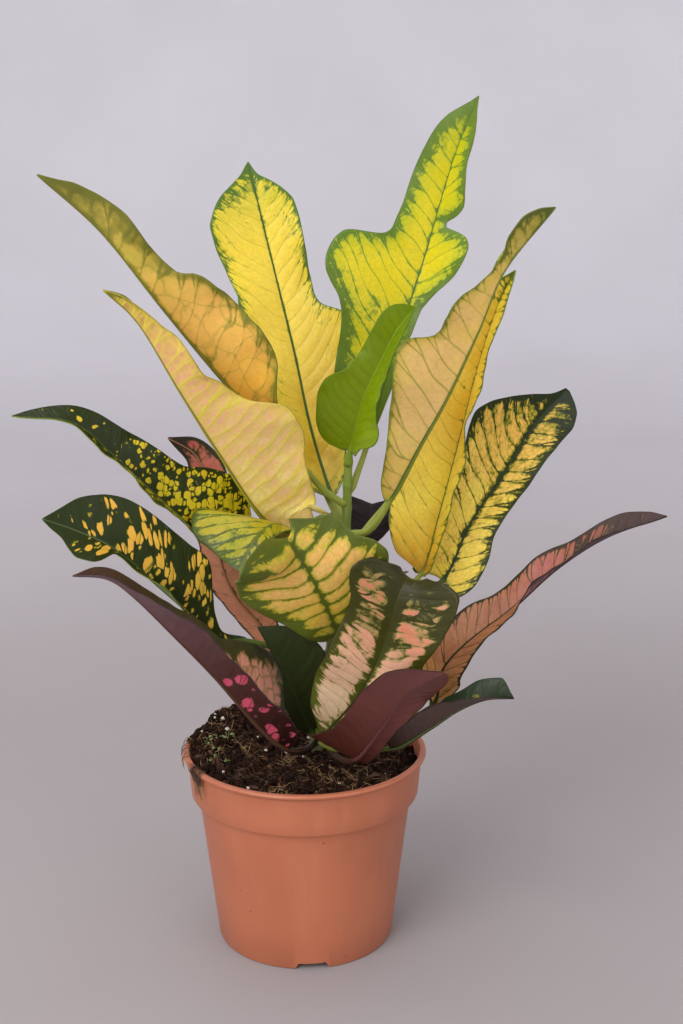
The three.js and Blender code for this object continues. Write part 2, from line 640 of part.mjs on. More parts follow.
/** Turns a profile of [radius, height] pairs about Z into a closed ring-shaped or solid body. */
function turned(profile) {
  const points = profile.map(([r, z]) => new THREE.Vector2(r, z));
  return new THREE.LatheGeometry(points, POT_SEGMENTS).rotateX(Math.PI / 2);
}

function potBlank() {
  const top = BASE_UNDERSIDE + BASE_THICKNESS;
  return turned([
    [0, 0],
    [CENTRE_FOOT_RADIUS, 0],
    [CENTRE_FOOT_RADIUS + 1.5, BASE_UNDERSIDE],
    [BODY_BOTTOM_RADIUS - FOOT_WIDTH - 1.5, BASE_UNDERSIDE],
    [BODY_BOTTOM_RADIUS - FOOT_WIDTH, 0],
    [BODY_BOTTOM_RADIUS - 1, 0],
    [BODY_BOTTOM_RADIUS - 0.2, 0.9],
    [BODY_TOP_RADIUS, BAND_BOTTOM_HEIGHT - 0.6],
    [BODY_TOP_RADIUS + 0.8, BAND_BOTTOM_HEIGHT],
    [BAND_BOTTOM_RADIUS - 0.5, BAND_BOTTOM_HEIGHT],
    [BAND_BOTTOM_RADIUS, BAND_BOTTOM_HEIGHT + 0.7],
    [BAND_TOP_RADIUS, RIM_HEIGHT - RIM_LIP - 0.8],
    [RIM_RADIUS - 0.5, RIM_HEIGHT - RIM_LIP - 0.2],
    [RIM_RADIUS, RIM_HEIGHT - RIM_LIP + 0.6],
    [RIM_RADIUS - 0.1, RIM_HEIGHT - 0.7],
    [RIM_RADIUS - 0.9, RIM_HEIGHT],
    [RIM_INNER_RADIUS + 0.5, RIM_HEIGHT],
    [RIM_INNER_RADIUS - 0.2, RIM_HEIGHT - 0.8],
    [BAND_BOTTOM_RADIUS - WALL, BAND_BOTTOM_HEIGHT + WALL + 1],
    [innerRadius(BAND_BOTTOM_HEIGHT), BAND_BOTTOM_HEIGHT + WALL],
    [innerRadius(top), top],
    [0, top],
  ]);
}

/** A wedge-sided block that cuts one gap through the foot ring. */
function notchCutter(angle) {
  const half = NOTCH_TOP_WIDTH / 2;
  const flare = (NOTCH_BOTTOM_WIDTH - NOTCH_TOP_WIDTH) / 2 / NOTCH_HEIGHT;
  const depth = FOOT_WIDTH + 6;
  const shape = new THREE.Shape([
    new THREE.Vector2(-half, NOTCH_HEIGHT),
    new THREE.Vector2(-half - flare * (NOTCH_HEIGHT + 1), -1),
    new THREE.Vector2(half + flare * (NOTCH_HEIGHT + 1), -1),
    new THREE.Vector2(half, NOTCH_HEIGHT),
  ]);
  return new THREE.ExtrudeGeometry(shape, { depth, bevelEnabled: false })
    .rotateX(Math.PI / 2)
    .translate(0, BODY_BOTTOM_RADIUS + 3, 0)
    .rotateZ((angle - 90) * DEG);
}

function drainCutter(angle) {
  return new THREE.CylinderGeometry(DRAIN_RADIUS, DRAIN_RADIUS, 8, 14)
    .rotateX(Math.PI / 2)
    .translate(DRAIN_CIRCLE, 0, BASE_UNDERSIDE)
    .rotateZ(angle * DEG);
}

const wasm = await Module();
wasm.setup();

/** A geometry as a solid that can be cut. */
function solidOf(geometry) {
  const bare = geometry.clone();
  bare.deleteAttribute('normal');
  bare.deleteAttribute('uv');
  const merged = mergeVertices(bare, 1e-4);
  return new wasm.Manifold(new wasm.Mesh({
    numProp: 3,
    vertProperties: new Float32Array(merged.attributes.position.array),
    triVerts: new Uint32Array(merged.index.array),
  }));
}

function geometryOf(solid) {
  const mesh = solid.getMesh();
  const geometry = new THREE.BufferGeometry();
  geometry.setAttribute('position', new THREE.BufferAttribute(new Float32Array(mesh.vertProperties), 3));
  geometry.setIndex(new THREE.BufferAttribute(new Uint32Array(mesh.triVerts), 1));
  return geometry;
}

function pot() {
  let body = solidOf(potBlank());
  for (let i = 0; i < FOOT_NOTCHES; i += 1) {
    body = body.subtract(solidOf(notchCutter(FRONT_NOTCH_ANGLE + (360 * i) / FOOT_NOTCHES)));
  }
  for (let i = 0; i < DRAIN_HOLES; i += 1) {
    body = body.subtract(solidOf(drainCutter((360 * (i + 0.5)) / DRAIN_HOLES)));
  }
  return geometryOf(body);
}

function piece(name, geometry, color, roughness) {
  const material = new THREE.MeshStandardMaterial({ color, roughness, metalness: 0 });
  geometry.computeVertexNormals();
  const mesh = new THREE.Mesh(geometry, material);
  mesh.name = name;
  return mesh;
}

const plant = new THREE.Group();
plant.add(piece('pot', pot(), 0xb76f50, 0.55));
plant.add(piece('soil', soil(), 0x2e211a, 0.95));
plant.add(piece('stem', stem(), 0x6b8f3c, 0.5));
LEAVES.forEach((spec) => plant.add(piece(spec.name, leaf(spec), spec.colour, 0.35)));

export default plant;
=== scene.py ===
import logging
import math
import random
from collections.abc import Sequence
from dataclasses import dataclass, replace
from enum import Enum

import bmesh
import bpy
import numpy as np
from mathutils import Matrix, Vector, noise


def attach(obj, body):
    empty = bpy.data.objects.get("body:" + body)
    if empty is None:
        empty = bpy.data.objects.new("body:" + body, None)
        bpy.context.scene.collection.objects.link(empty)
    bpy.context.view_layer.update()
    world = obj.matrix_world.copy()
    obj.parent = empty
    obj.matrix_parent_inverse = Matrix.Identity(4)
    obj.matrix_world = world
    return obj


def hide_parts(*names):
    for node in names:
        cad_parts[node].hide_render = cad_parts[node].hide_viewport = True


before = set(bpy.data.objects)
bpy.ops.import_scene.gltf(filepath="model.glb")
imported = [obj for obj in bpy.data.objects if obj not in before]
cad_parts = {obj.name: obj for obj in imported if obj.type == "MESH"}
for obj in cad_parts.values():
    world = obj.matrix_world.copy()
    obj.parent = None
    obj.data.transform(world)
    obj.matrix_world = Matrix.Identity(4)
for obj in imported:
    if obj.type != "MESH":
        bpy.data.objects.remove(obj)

log = logging.getLogger("croton")

MM = 0.001
ROOT = "root"


class Side(Enum):
    """The two faces of a leaf blade, by material slot."""

    UPPER = 0
    UNDER = 1


class Grain(Enum):
    """What the loose grains in the compost are made of, by material slot."""

    PEAT = 0
    BARK = 1
    PERLITE = 2


def linear(code: str) -> tuple[float, float, float, float]:
    """Turns an sRGB hex value into linear RGBA.

    Args:
        code: Six hex digits, such as "b76f50".

    Returns:
        Linear red, green and blue, and an alpha of 1.
    """
    parts = [int(code[i:i + 2], 16) / 255 for i in (0, 2, 4)]
    red, green, blue = (c / 12.92 if c <= 0.04045 else ((c + 0.055) / 1.055) ** 2.4 for c in parts)
    return red, green, blue, 1.0


def ramp(*values: str | float) -> tuple[tuple[float, str | float], ...]:
    """Spaces values evenly from 0 to 1, as the stops of a colour ramp."""
    last = len(values) - 1
    return tuple((i / last, value) for i, value in enumerate(values))


def smoothstep(low: float, high: float, value: float) -> float:
    """Rises smoothly from 0 at low to 1 at high."""
    t = min(1.0, max(0.0, (value - low) / (high - low)))
    return t * t * (3 - 2 * t)


def even(rows: Sequence, share: float) -> np.ndarray:
    """Reads evenly spaced rows or numbers at a share from 0 to 1, straight between them.

    Args:
        rows: The rows, from share 0 to share 1.
        share: Where to read.

    Returns:
        One value for each column, or the one number.
    """
    place = min(1.0, max(0.0, share)) * (len(rows) - 1)
    first = min(int(place), len(rows) - 2)
    a, b = np.array(rows[first], float), np.array(rows[first + 1], float)
    return a + (b - a) * (place - first)


def curved(rows: Sequence, share: float) -> np.ndarray:
    """Reads rows of (share, values...) with smooth curves that don't overshoot.

    Args:
        rows: The rows, in order of their share.
        share: Where to read.

    Returns:
        One value for each column after the first.
    """
    table = np.array(rows, float)
    x, y = table[:, 0], table[:, 1:]
    slope = np.diff(y, axis=0) / np.diff(x)[:, None]
    tangent = np.vstack([slope[:1], np.zeros_like(slope[1:]), slope[-1:]])
    before, after = slope[:-1], slope[1:]
    safe = np.where(before * after > 0, before + after, 1.0)
    tangent[1:-1] = np.where(before * after > 0, 2 * before * after / safe, 0.0)
    k = int(np.clip(np.searchsorted(x, share, side="right") - 1, 0, len(x) - 2))
    span = x[k + 1] - x[k]
    t = min(1.0, max(0.0, (share - x[k]) / span))
    return (
        (2 * t ** 3 - 3 * t ** 2 + 1) * y[k] + (t ** 3 - 2 * t ** 2 + t) * span * tangent[k]
        + (3 * t ** 2 - 2 * t ** 3) * y[k + 1] + (t ** 3 - t ** 2) * span * tangent[k + 1]
    )


def unit(vector: np.ndarray) -> np.ndarray:
    """The vector at a length of 1."""
    return vector / np.linalg.norm(vector)


def add(
    tree: bpy.types.NodeTree,
    kind: str,
    links: dict[int | str, object] | None = None,
    stops: tuple[tuple[float, object], ...] = (),
    **settings: object,
) -> bpy.types.Node:
    """Adds one node with its settings and what feeds its inputs.

    Args:
        tree: The tree that gets the node.
        kind: The node's type without "ShaderNode", such as "Math".
        links: Input name or number to a node, an output socket or a plain value.
        stops: Places and colours, or greys, of a colour ramp.
        settings: Properties of the node.

    Returns:
        The new node.
    """
    node = tree.nodes.new("ShaderNode" + kind)
    for key, value in settings.items():
        setattr(node, key, value)
    for name, source in (links or {}).items():
        socket = node.inputs[name]
        if isinstance(source, bpy.types.Node):
            tree.links.new(source.outputs[0], socket)
        elif isinstance(source, bpy.types.NodeSocket):
            tree.links.new(source, socket)
        else:
            socket.default_value = source
    if stops:
        elements = node.color_ramp.elements
        while len(elements) < len(stops):
            elements.new(1.0)
        for element, (place, value) in zip(elements, stops):
            element.position = place
            element.color = linear(value) if isinstance(value, str) else (value, value, value, 1.0)
    return node


def new_material(name: str) -> tuple[bpy.types.Material, bpy.types.NodeTree]:
    """Makes an empty node material.

    Args:
        name: The material's name.

    Returns:
        The material and its node tree.
    """
    material = bpy.data.materials.new(name)
    material.use_nodes = True
    material.node_tree.nodes.clear()
    return material, material.node_tree


def new_piece(
    name: str,
    bm: bmesh.types.BMesh,
    materials: list[bpy.types.Material],
) -> bpy.types.Object:
    """Turns a bmesh in metres into a smooth shaded piece at the origin.

    Args:
        name: The piece's name.
        bm: Its mesh, which is freed.
        materials: Its material slots, in order.

    Returns:
        The new object, riding on the plant's one body.
    """
    mesh = bpy.data.meshes.new(name)
    bm.to_mesh(mesh)
    bm.free()
    mesh.shade_smooth()
    for material in materials:
        mesh.materials.append(material)
    piece = bpy.data.objects.new(name, mesh)
    bpy.context.scene.collection.objects.link(piece)
    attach(piece, ROOT)
    log.info("%s: %d faces", name, len(mesh.polygons))
    return piece


def pour(part: bmesh.types.BMesh, into: bmesh.types.BMesh) -> bmesh.types.BMesh:
    """Moves a batch of small forms into a large mesh, on which the operators would be slow.

    Args:
        part: The batch, which is freed.
        into: The mesh that gets it.

    Returns:
        An empty mesh for the next batch.
    """
    mesh = bpy.data.meshes.new("batch")
    part.to_mesh(mesh)
    part.free()
    into.from_mesh(mesh)
    bpy.data.meshes.remove(mesh)
    return bmesh.new()


class Line:
    """A smooth line through points in millimetres, read by distance along it."""

    DIVISIONS = 400

    def __init__(self, points: Sequence[tuple[float, float, float]]) -> None:
        """Samples a uniform Catmull-Rom curve.

        Args:
            points: What the line passes through, ends included.
        """
        p = np.array(points, float)
        ends = np.vstack([2 * p[0] - p[1], p, 2 * p[-1] - p[-2]])
        place = np.linspace(0, len(p) - 1, self.DIVISIONS + 1)
        piece = np.minimum(place.astype(int), len(p) - 2)
        t = (place - piece)[:, None]
        a, b, c, d = (ends[piece + k] for k in range(4))
        bend = 2 * a - 5 * b + 4 * c - d + t * (3 * b - a - 3 * c + d)
        self.curve = b + 0.5 * t * (c - a + t * bend)
        steps = np.linalg.norm(np.diff(self.curve, axis=0), axis=1)
        self.reach = np.concatenate([[0.0], np.cumsum(steps)])
        self.total = float(self.reach[-1])
        marks = [round(i * self.DIVISIONS / (len(p) - 1)) for i in range(len(p))]
        self.marks = [float(self.reach[mark]) for mark in marks]

    def point(self, distance: float) -> np.ndarray:
        """The point at a distance from the start."""
        return np.array([np.interp(distance, self.reach, self.curve[:, k]) for k in range(3)])

    def tangent(self, distance: float, step: float = 1.0) -> np.ndarray:
        """The unit direction at a distance from the start."""
        low, high = max(0.0, distance - step), min(self.total, distance + step)
        return unit(self.point(high) - self.point(low))


def tube(
    bm: bmesh.types.BMesh,
    rings: list[tuple[np.ndarray, np.ndarray, np.ndarray, float]],
    sides: int,
) -> list[tuple[bmesh.types.BMVert, float]]:
    """Rolls a grid into a closed tube.

    Args:
        bm: The mesh that gets the tube.
        rings: Centre, two unit directions across and radius of each ring, in millimetres.
        sides: Faces around the tube.

    Returns:
        The tube's vertices, each with its place along the tube from 0 to 1.
    """
    last = len(rings) - 1
    placed = []
    for vert in bmesh.ops.create_grid(bm, x_segments=sides, y_segments=last, size=1.0)["verts"]:
        share = (vert.co.y + 1) / 2
        angle = math.pi * (1 + vert.co.x)
        centre, across, up, radius = rings[round(share * last)]
        spot = centre + radius * (math.cos(angle) * across + math.sin(angle) * up)
        vert.co = Vector(spot * MM)
        placed.append((vert, share))
    bmesh.ops.remove_doubles(bm, verts=[vert for vert, _ in placed], dist=1e-7)
    placed = [(vert, share) for vert, share in placed if vert.is_valid]
    rim = {edge for vert, _ in placed for edge in vert.link_edges if edge.is_boundary}
    bmesh.ops.holes_fill(bm, edges=list(rim), sides=0)
    return placed


def frames_along(line: Line, distances: list[float], radii: list[float]) -> list[tuple]:
    """Makes ring frames of a round tube along a line.

    Args:
        line: The centre line.
        distances: Where the rings are, as distances along it.
        radii: Their radii, in millimetres.

    Returns:
        Centre, two unit directions across and radius of each ring.
    """
    rings = []
    for distance, radius in zip(distances, radii):
        along = line.tangent(distance)
        level = np.array([0.0, 0.0, 1.0]) if abs(along[2]) < 0.7 else np.array([1.0, 0.0, 0.0])
        across = unit(np.cross(along, level))
        rings.append((line.point(distance), across, np.cross(along, across), radius))
    return rings


def lathe(profile: Sequence[tuple[float, float]], steps: int) -> bmesh.types.BMesh:
    """Turns a section about the upright axis.

    Args:
        profile: Radius and height of its points, in metres.
        steps: Faces around.

    Returns:
        The turned mesh.
    """
    bm = bmesh.new()
    verts = [bm.verts.new((radius, 0.0, height)) for radius, height in profile]
    edges = [bm.edges.new(pair) for pair in zip(verts, verts[1:])]
    bmesh.ops.spin(
        bm, geom=verts + edges, cent=(0, 0, 0), axis=(0, 0, 1), dvec=(0, 0, 0),
        angle=2 * math.pi, steps=steps, use_merge=True, use_duplicate=False,
    )
    bmesh.ops.remove_doubles(bm, verts=bm.verts[:], dist=1e-6)
    return bm


@dataclass(frozen=True)
class Pattern:
    """Variegated croton blade, one face of it: a waxy cuticle over coloured cells.

    The pale fields lie between the side veins, the green runs along the margin, the midrib and the
    veins, and its edge follows small islets of cells, so it looks ragged close to. Widths are in
    millimetres. Gains say how strongly each cause draws the green in.

    Attributes:
        fields: Colours of the pale fields from blade base to tip.
        tint: A second field colour, mixed in by soft clouds.
        greens: Colours of the green parts from base to tip.
        cover: How far the green spreads from base to tip, 0 for none and 1 for all.
        halo: Colour where a field meets the green.
        vein: Colour of the side veins.
        midrib: Colour of the midrib.
        edge: Colour of the thin rim of the blade.
        shore: Width, strength and colour of a change of the fields towards the margin.
        tint_share: How much of the tint.
        halo_width: How wide the halo is, as a share of the fade.
        vein_width: Width of the side veins.
        vein_mix: How clearly they show.
        spacing: Distance between them at the midrib.
        slant: How far a vein climbs for each millimetre out from the midrib.
        bend: How much more it climbs further out.
        wobble: How far a vein strays, as a share of the spacing.
        fork: How far from the margin a vein forks.
        net: Width of the net of small veins and how clearly it shows.
        midrib_width: Half the midrib's width at the base.
        edge_width: Width of the rim.
        margin: Width and gain of the green along the margin.
        rib: Width and gain of the green along the midrib.
        branch: Width and gain of the green along the side veins.
        lace: Width of the zone where green creeps in from the margin along cells and veins, and its
            gain at the margin and inside.
        islet: Length of an islet, gain, and its length over its width.
        along_veins: Whether the islets lie along the side veins.
        round: How far the islets draw together into round spots.
        cloud: Size of the soft clouds and gain.
        mottle: Gain of the fine mottling.
        fade: Softness of the green's edge.
        roughness: Surface roughness.
        coat: Strength of the waxy film.
        shine: Specular level.
        raised: How far the veins stand up, below 0 where they're sunk.
        glow: How much light passes through the blade.
        petiole: Colour of the leaf stalk.
    """

    fields: tuple[tuple[float, str], ...]
    tint: str
    greens: tuple[tuple[float, str], ...]
    cover: tuple[tuple[float, float], ...]
    halo: str
    vein: str
    midrib: str
    edge: str
    shore: tuple[float, float, str] = (6.0, 0.0, "ffffff")
    tint_share: float = 0.5
    halo_width: float = 0.1
    vein_width: float = 0.5
    vein_mix: float = 0.6
    spacing: float = 8.0
    slant: float = 0.45
    bend: float = 0.012
    wobble: float = 0.6
    fork: float = 8.0
    net: tuple[float, float] = (0.5, 0.15)
    midrib_width: float = 0.9
    edge_width: float = 0.6
    margin: tuple[float, float] = (5.0, 0.5)
    rib: tuple[float, float] = (2.5, 0.4)
    branch: tuple[float, float] = (1.5, 0.3)
    lace: tuple[float, float, float] = (6.0, 0.12, 0.0)
    islet: tuple[float, float, float] = (2.6, 0.12, 1.8)
    along_veins: bool = True
    round: float = 0.0
    cloud: tuple[float, float] = (14.0, 0.25)
    mottle: float = 0.6
    fade: float = 0.16
    roughness: float = 0.42
    coat: float = 0.05
    shine: float = 0.32
    raised: float = -1.0
    glow: float = 0.6
    petiole: str = "949e42"

    def material(self, name: str, seed: float) -> bpy.types.Material:
        """Builds the node material of this face.

        Args:
            name: The material's name.
            seed: Shifts the chance patterns, so that no two leaves are alike.

        Returns:
            The material, which reads the attributes that LeafBlade writes.
        """
        made, tree = new_material(name)
        place = add(tree, "Attribute", attribute_name="leaf_mm").outputs["Vector"]
        across, along, rim = add(tree, "SeparateXYZ", {0: place}).outputs
        run = add(tree, "Attribute", attribute_name="leaf_run").outputs["Vector"]
        course, share, _ = add(tree, "SeparateXYZ", {0: run}).outputs
        out = add(tree, "Math", {0: across}, operation="ABSOLUTE")
        half = add(tree, "Math", {0: across}, operation="SIGN")

        # Side veins: the course runs up the blade, the two halves alternate, and each vein forks at
        # its own distance from the margin.
        steps = add(tree, "Math", {0: course, 1: self.spacing}, operation="DIVIDE")
        steps = add(tree, "Math", {0: half, 1: 0.25, 2: steps}, operation="MULTIPLY_ADD")
        nearest = add(tree, "Math", {0: steps}, operation="ROUND")
        number = add(tree, "CombineXYZ", {0: nearest, 1: half, 2: seed})
        luck = add(tree, "TexWhiteNoise", {"Vector": number}).outputs["Value"]
        fork = add(tree, "MapRange", {0: luck, 3: self.fork * 0.5, 4: self.fork * 1.6})
        fork = add(tree, "MapRange", {0: rim, 1: 0.0, 2: fork, 3: 0.25, 4: 0.0})
        off = add(tree, "Math", {0: steps, 1: nearest}, operation="SUBTRACT")
        off = add(tree, "Math", {0: off}, operation="ABSOLUTE")
        off = add(tree, "Math", {0: off, 1: fork}, operation="SUBTRACT")
        off = add(tree, "Math", {0: off}, operation="ABSOLUTE")
        from_vein = add(tree, "Math", {0: off, 1: self.spacing}, operation="MULTIPLY")

        # Islets of cells between the veins, and soft clouds over the whole blade.
        length, islet_gain, stretch = self.islet
        lengthwise = course if self.along_veins else along
        cell_at = add(tree, "CombineXYZ", {0: lengthwise, 1: across, 2: seed * 7.0})
        sizes = (1.0 / length, 1.0 / (length * stretch), 1.0)
        cell_at = add(tree, "VectorMath", {0: cell_at, 1: sizes}, operation="MULTIPLY")
        stray = add(tree, "TexNoise", {"Vector": cell_at, "Scale": 0.9, "Detail": 2.0})
        stray = {0: stray.outputs["Color"], 1: (0.9, 0.9, 0.9), 2: cell_at}
        cell_at = add(tree, "VectorMath", stray, operation="MULTIPLY_ADD")
        cells = add(tree, "TexVoronoi", {"Vector": cell_at, "Scale": 1.0}, feature="F1")
        chance = add(tree, "SeparateColor", {0: cells.outputs["Color"]})
        walls = add(tree, "TexVoronoi", {"Vector": cell_at, "Scale": 1.0}, feature="DISTANCE_TO_EDGE")
        cloud_at = add(tree, "CombineXYZ", {0: along, 1: across, 2: seed * 31.0})
        clouds = {"Vector": cloud_at, "Scale": 1.0 / self.cloud[0], "Detail": 4.0, "Roughness": 0.6}
        clouds = add(tree, "TexNoise", clouds)
        fine = add(tree, "TexNoise", {"Vector": cloud_at, "Scale": 0.5, "Detail": 3.0, "Roughness": 0.6})

        # Green: what draws it in is summed, and cut at a half.
        force = add(tree, "ValToRGB", {0: share}, stops=self.cover)
        zone, outer, inner = self.lace
        laced = add(tree, "MapRange", {0: rim, 1: 0.0, 2: zone, 3: outer, 4: inner})
        vein_reach, gain = self.branch
        creeping = add(tree, "MapRange", {0: rim, 1: 0.0, 2: zone, 3: gain + outer, 4: gain})
        near = (
            (rim, *self.margin), (out, *self.rib), (from_vein, vein_reach, creeping),
            (walls, 0.22, laced),
        )
        for source, width, gain in near:
            reach = add(tree, "MapRange", {0: source, 1: 0.0, 2: width, 3: gain, 4: 0.0})
            force = add(tree, "Math", {0: force, 1: reach})
        spread = (
            (chance.outputs[0], islet_gain * 2), (clouds.outputs[0], self.cloud[1] * 4),
            (fine.outputs[0], self.mottle), (cells.outputs["Distance"], self.round),
        )
        for source, gain in spread:
            reach = add(tree, "Math", {0: source, 1: 0.5}, operation="SUBTRACT")
            force = add(tree, "Math", {0: reach, 1: gain, 2: force}, operation="MULTIPLY_ADD")

        # Colours, one over the other. Each is whole up to one value of its cause and gone at another.
        colour = add(tree, "ValToRGB", {0: share}, stops=self.fields)
        leafy = add(tree, "ValToRGB", {0: share}, stops=self.greens)
        shown = add(tree, "MapRange", {0: luck, 3: self.vein_mix * 0.6, 4: min(1.0, self.vein_mix * 1.4)})
        taper = add(tree, "MapRange", {0: share, 3: self.midrib_width, 4: self.midrib_width * 0.35})
        rib = add(tree, "Math", {0: out, 1: taper}, operation="DIVIDE")
        low, high = 0.5 - self.fade, 0.5 + self.fade
        layers = (
            (clouds, 0.62, 0.38, self.tint_share, linear(self.tint)),
            (rim, 0.0, self.shore[0], self.shore[1], linear(self.shore[2])),
            (force, 0.5, low - self.halo_width, 1.0, linear(self.halo)),
            (walls, 0.0, self.net[0] / length, self.net[1], linear(self.vein)),
            (from_vein, self.vein_width * 0.3, self.vein_width, shown, linear(self.vein)),
            (force, high, low, 1.0, leafy),
            (rim, self.edge_width * 0.4, self.edge_width, 0.85, linear(self.edge)),
            (rib, 0.7, 1.2, 1.0, linear(self.midrib)),
            (share, -0.02, 0.03, 1.0, linear(self.petiole)),
        )
        for source, whole, gone, strength, skin in layers:
            amount = {0: source, 1: whole, 2: gone, 3: strength, 4: 0.0}
            amount = add(tree, "MapRange", amount, interpolation_type="SMOOTHSTEP")
            colour = add(tree, "MixRGB", {0: amount, 1: colour, 2: skin})
        amount = add(tree, "MapRange", {0: fine.outputs[0], 1: 0.3, 2: 0.7, 3: 0.93, 4: 1.05})
        colour = add(tree, "MixRGB", {0: 1.0, 1: colour, 2: amount}, blend_type="MULTIPLY")

        # Relief too fine for the mesh: side veins, the net between them and the cells' own grain.
        relief = add(tree, "MapRange", {0: walls.outputs[0], 1: 0.0, 2: 0.3, 3: 0.0, 4: 0.5})
        relief = add(tree, "Math", {0: fine.outputs[0], 1: 0.5, 2: relief}, operation="MULTIPLY_ADD")
        groove = {0: from_vein, 1: 0.0, 2: 0.9, 3: self.raised * 1.5, 4: 0.0}
        groove = add(tree, "MapRange", groove, interpolation_type="SMOOTHSTEP")
        relief = add(tree, "Math", {0: relief, 1: groove})
        bump = add(tree, "Bump", {"Strength": 0.4, "Distance": 0.12 * MM, "Height": relief})
        gloss = {0: clouds.outputs[0], 1: 0.3, 2: 0.7, 3: self.roughness - 0.05, 4: self.roughness + 0.07}
        gloss = add(tree, "MapRange", gloss)
        shader = add(
            tree, "BsdfPrincipled",
            {"Base Color": colour, "Roughness": gloss, "Normal": bump, "IOR": 1.42,
             "Specular IOR Level": self.shine, "Coat Weight": self.coat, "Coat Roughness": 0.25,
             "Subsurface Weight": self.glow, "Subsurface Radius": (1.0, 0.8, 0.3),
             "Subsurface Scale": 1.2 * MM},
        )
        add(tree, "OutputMaterial", {"Surface": shader})
        return made


@dataclass(frozen=True)
class LeafShape:
    """A leaf's form in millimetres and degrees: the solid's, with a finer margin.

    Attributes:
        name: The node that the leaf stands for.
        root: Height of its root on the stem.
        blade: Index of the spine point where the blade starts, the root being 0.
        wave: Height and number of the margin's waves.
        spine: Points from stalk to tip.
        face: The way the upper face looks, from blade base to tip.
        fold: How far the left and right halves are folded up.
        left: Rows of (share of blade length, width of the left half).
        right: The same for the right half.
        sweep: How far the margin runs ahead of the midrib, as a share of the width.
    """

    name: str
    root: float
    blade: int
    wave: tuple[float, float]
    spine: tuple[tuple[float, float, float], ...]
    face: tuple[tuple[float, float, float], ...]
    fold: tuple[tuple[float, float], ...]
    left: tuple[tuple[float, float], ...]
    right: tuple[tuple[float, float], ...]
    sweep: tuple[float, ...] = (0, 0)


@dataclass(frozen=True)
class YoungBark:
    """Young croton bark: smooth and green at the top, corky grey-brown streaks near the foot, and painted
    shade that darkens the green lower down.

    Attributes:
        foot: Height where the colours start, in metres.
        top: Height where they end, in metres.
        stops: Colours from foot to top; the corky foot is the bark's own, the green that darkens below the
            top is painted shade.
    """

    foot: float = 0.1
    top: float = 0.29
    # Painted shade: the green darkens from the top down towards the corky foot, where the leaves shade the
    # stem.
    stops: tuple[tuple[float, str], ...] = (
        (0.0, "5f5a35"), (0.35, "5f6a32"), (0.7, "506420"), (0.86, "6a8020"), (1.0, "8c9e2e"),
    )
    fleck: str = "8d8558"
    roughness: float = 0.48

    def material(self) -> bpy.types.Material:
        """Builds the node material.

        Returns:
            The material.
        """
        made, tree = new_material("young_bark_painted_shade")
        spot = add(tree, "TexCoord")
        height = add(tree, "SeparateXYZ", {0: spot.outputs["Object"]})
        height = add(tree, "MapRange", {0: height.outputs[2], 1: self.foot, 2: self.top})
        skin = add(tree, "ValToRGB", {0: height}, stops=self.stops)
        flecks = {"Vector": add(tree, "Mapping", {"Vector": spot.outputs["Object"], "Scale": (1, 1, 0.25)})}
        flecks = add(tree, "TexNoise", {**flecks, "Scale": 900.0, "Detail": 4.0})
        amount = add(tree, "MapRange", {0: flecks.outputs[0], 1: 0.52, 2: 0.68, 3: 0.0, 4: 0.55})
        skin = add(tree, "MixRGB", {0: amount, 1: skin, 2: linear(self.fleck)})
        bump = add(tree, "Bump", {"Strength": 0.5, "Distance": 0.2 * MM, "Height": flecks.outputs[0]})
        shader = {"Base Color": skin, "Roughness": self.roughness, "Normal": bump}
        add(tree, "OutputMaterial", {"Surface": add(tree, "BsdfPrincipled", shader)})
        return made


@dataclass
class Stem:
    """The green stem: a leaning cane with leaf joints, from the compost to the bud.

    Sizes are in millimetres.

    Attributes:
        points: What the centre line passes through.
        sides: Faces around the cane.
        joint_swell: How far a joint stands out.
        joint_pinch: How short a joint is, greater for shorter.
        inset: How far the cane lies inside its plain radius between joints.
        bud: Lift above the cane's end and radius of each ring of the bud.
    """

    points: tuple[tuple[float, float, float], ...] = (
        (6, 4, 80), (6, 4, 104), (9, 3, 130), (14, 2, 160),
        (18, 1, 190), (22, 0, 220), (24, 0, 250), (25, -1, 284),
    )
    foot_radius: float = 4.8
    tip_radius: float = 2.5
    sides: int = 28
    step: float = 1.2
    joint_spacing: float = 13.0
    joint_swell: float = 0.35
    joint_pinch: float = 7.0
    inset: float = 0.25
    bud: tuple[tuple[float, float], ...] = ((0.8, 2.0), (1.6, 1.4), (2.1, 0.8), (2.3, 0.3))

    def __post_init__(self) -> None:
        """Lays out the stem's centre line."""
        self.line = Line(self.points)

    def at(self, height: float) -> tuple[np.ndarray, float]:
        """Finds the stem's middle at a height.

        Args:
            height: The height.

        Returns:
            The centre there and the plain radius.
        """
        heights = self.line.curve[:, 2]
        distance = float(np.interp(height, heights, self.line.reach))
        return self.line.point(distance), self.radius(distance)

    def radius(self, distance: float) -> float:
        """Plain radius at a distance along the stem."""
        return self.foot_radius + (self.tip_radius - self.foot_radius) * distance / self.line.total

    def build(self) -> bpy.types.Object:
        """Makes the stem with a swelling at each leaf joint and a bud at the top.

        Returns:
            The stem's piece.
        """
        count = round(self.line.total / self.step)
        distances = [self.line.total * i / count for i in range(count + 1)]
        radii = []
        for distance in distances:
            phase = (distance % self.joint_spacing) / self.joint_spacing
            swell = self.joint_swell * math.exp(-((phase - 0.5) * self.joint_pinch) ** 2)
            radii.append(self.radius(distance) - self.inset + swell)
        rings = frames_along(self.line, distances, radii)
        tip, across, up, _ = rings[-1]
        axis = self.line.tangent(self.line.total)
        rings += [(tip + axis * lift, across, up, radius) for lift, radius in self.bud]
        bm = bmesh.new()
        tube(bm, rings, self.sides)
        bmesh.ops.recalc_face_normals(bm, faces=bm.faces[:])
        piece = new_piece("stem_cane", bm, [YoungBark().material()])
        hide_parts("stem")
        return piece


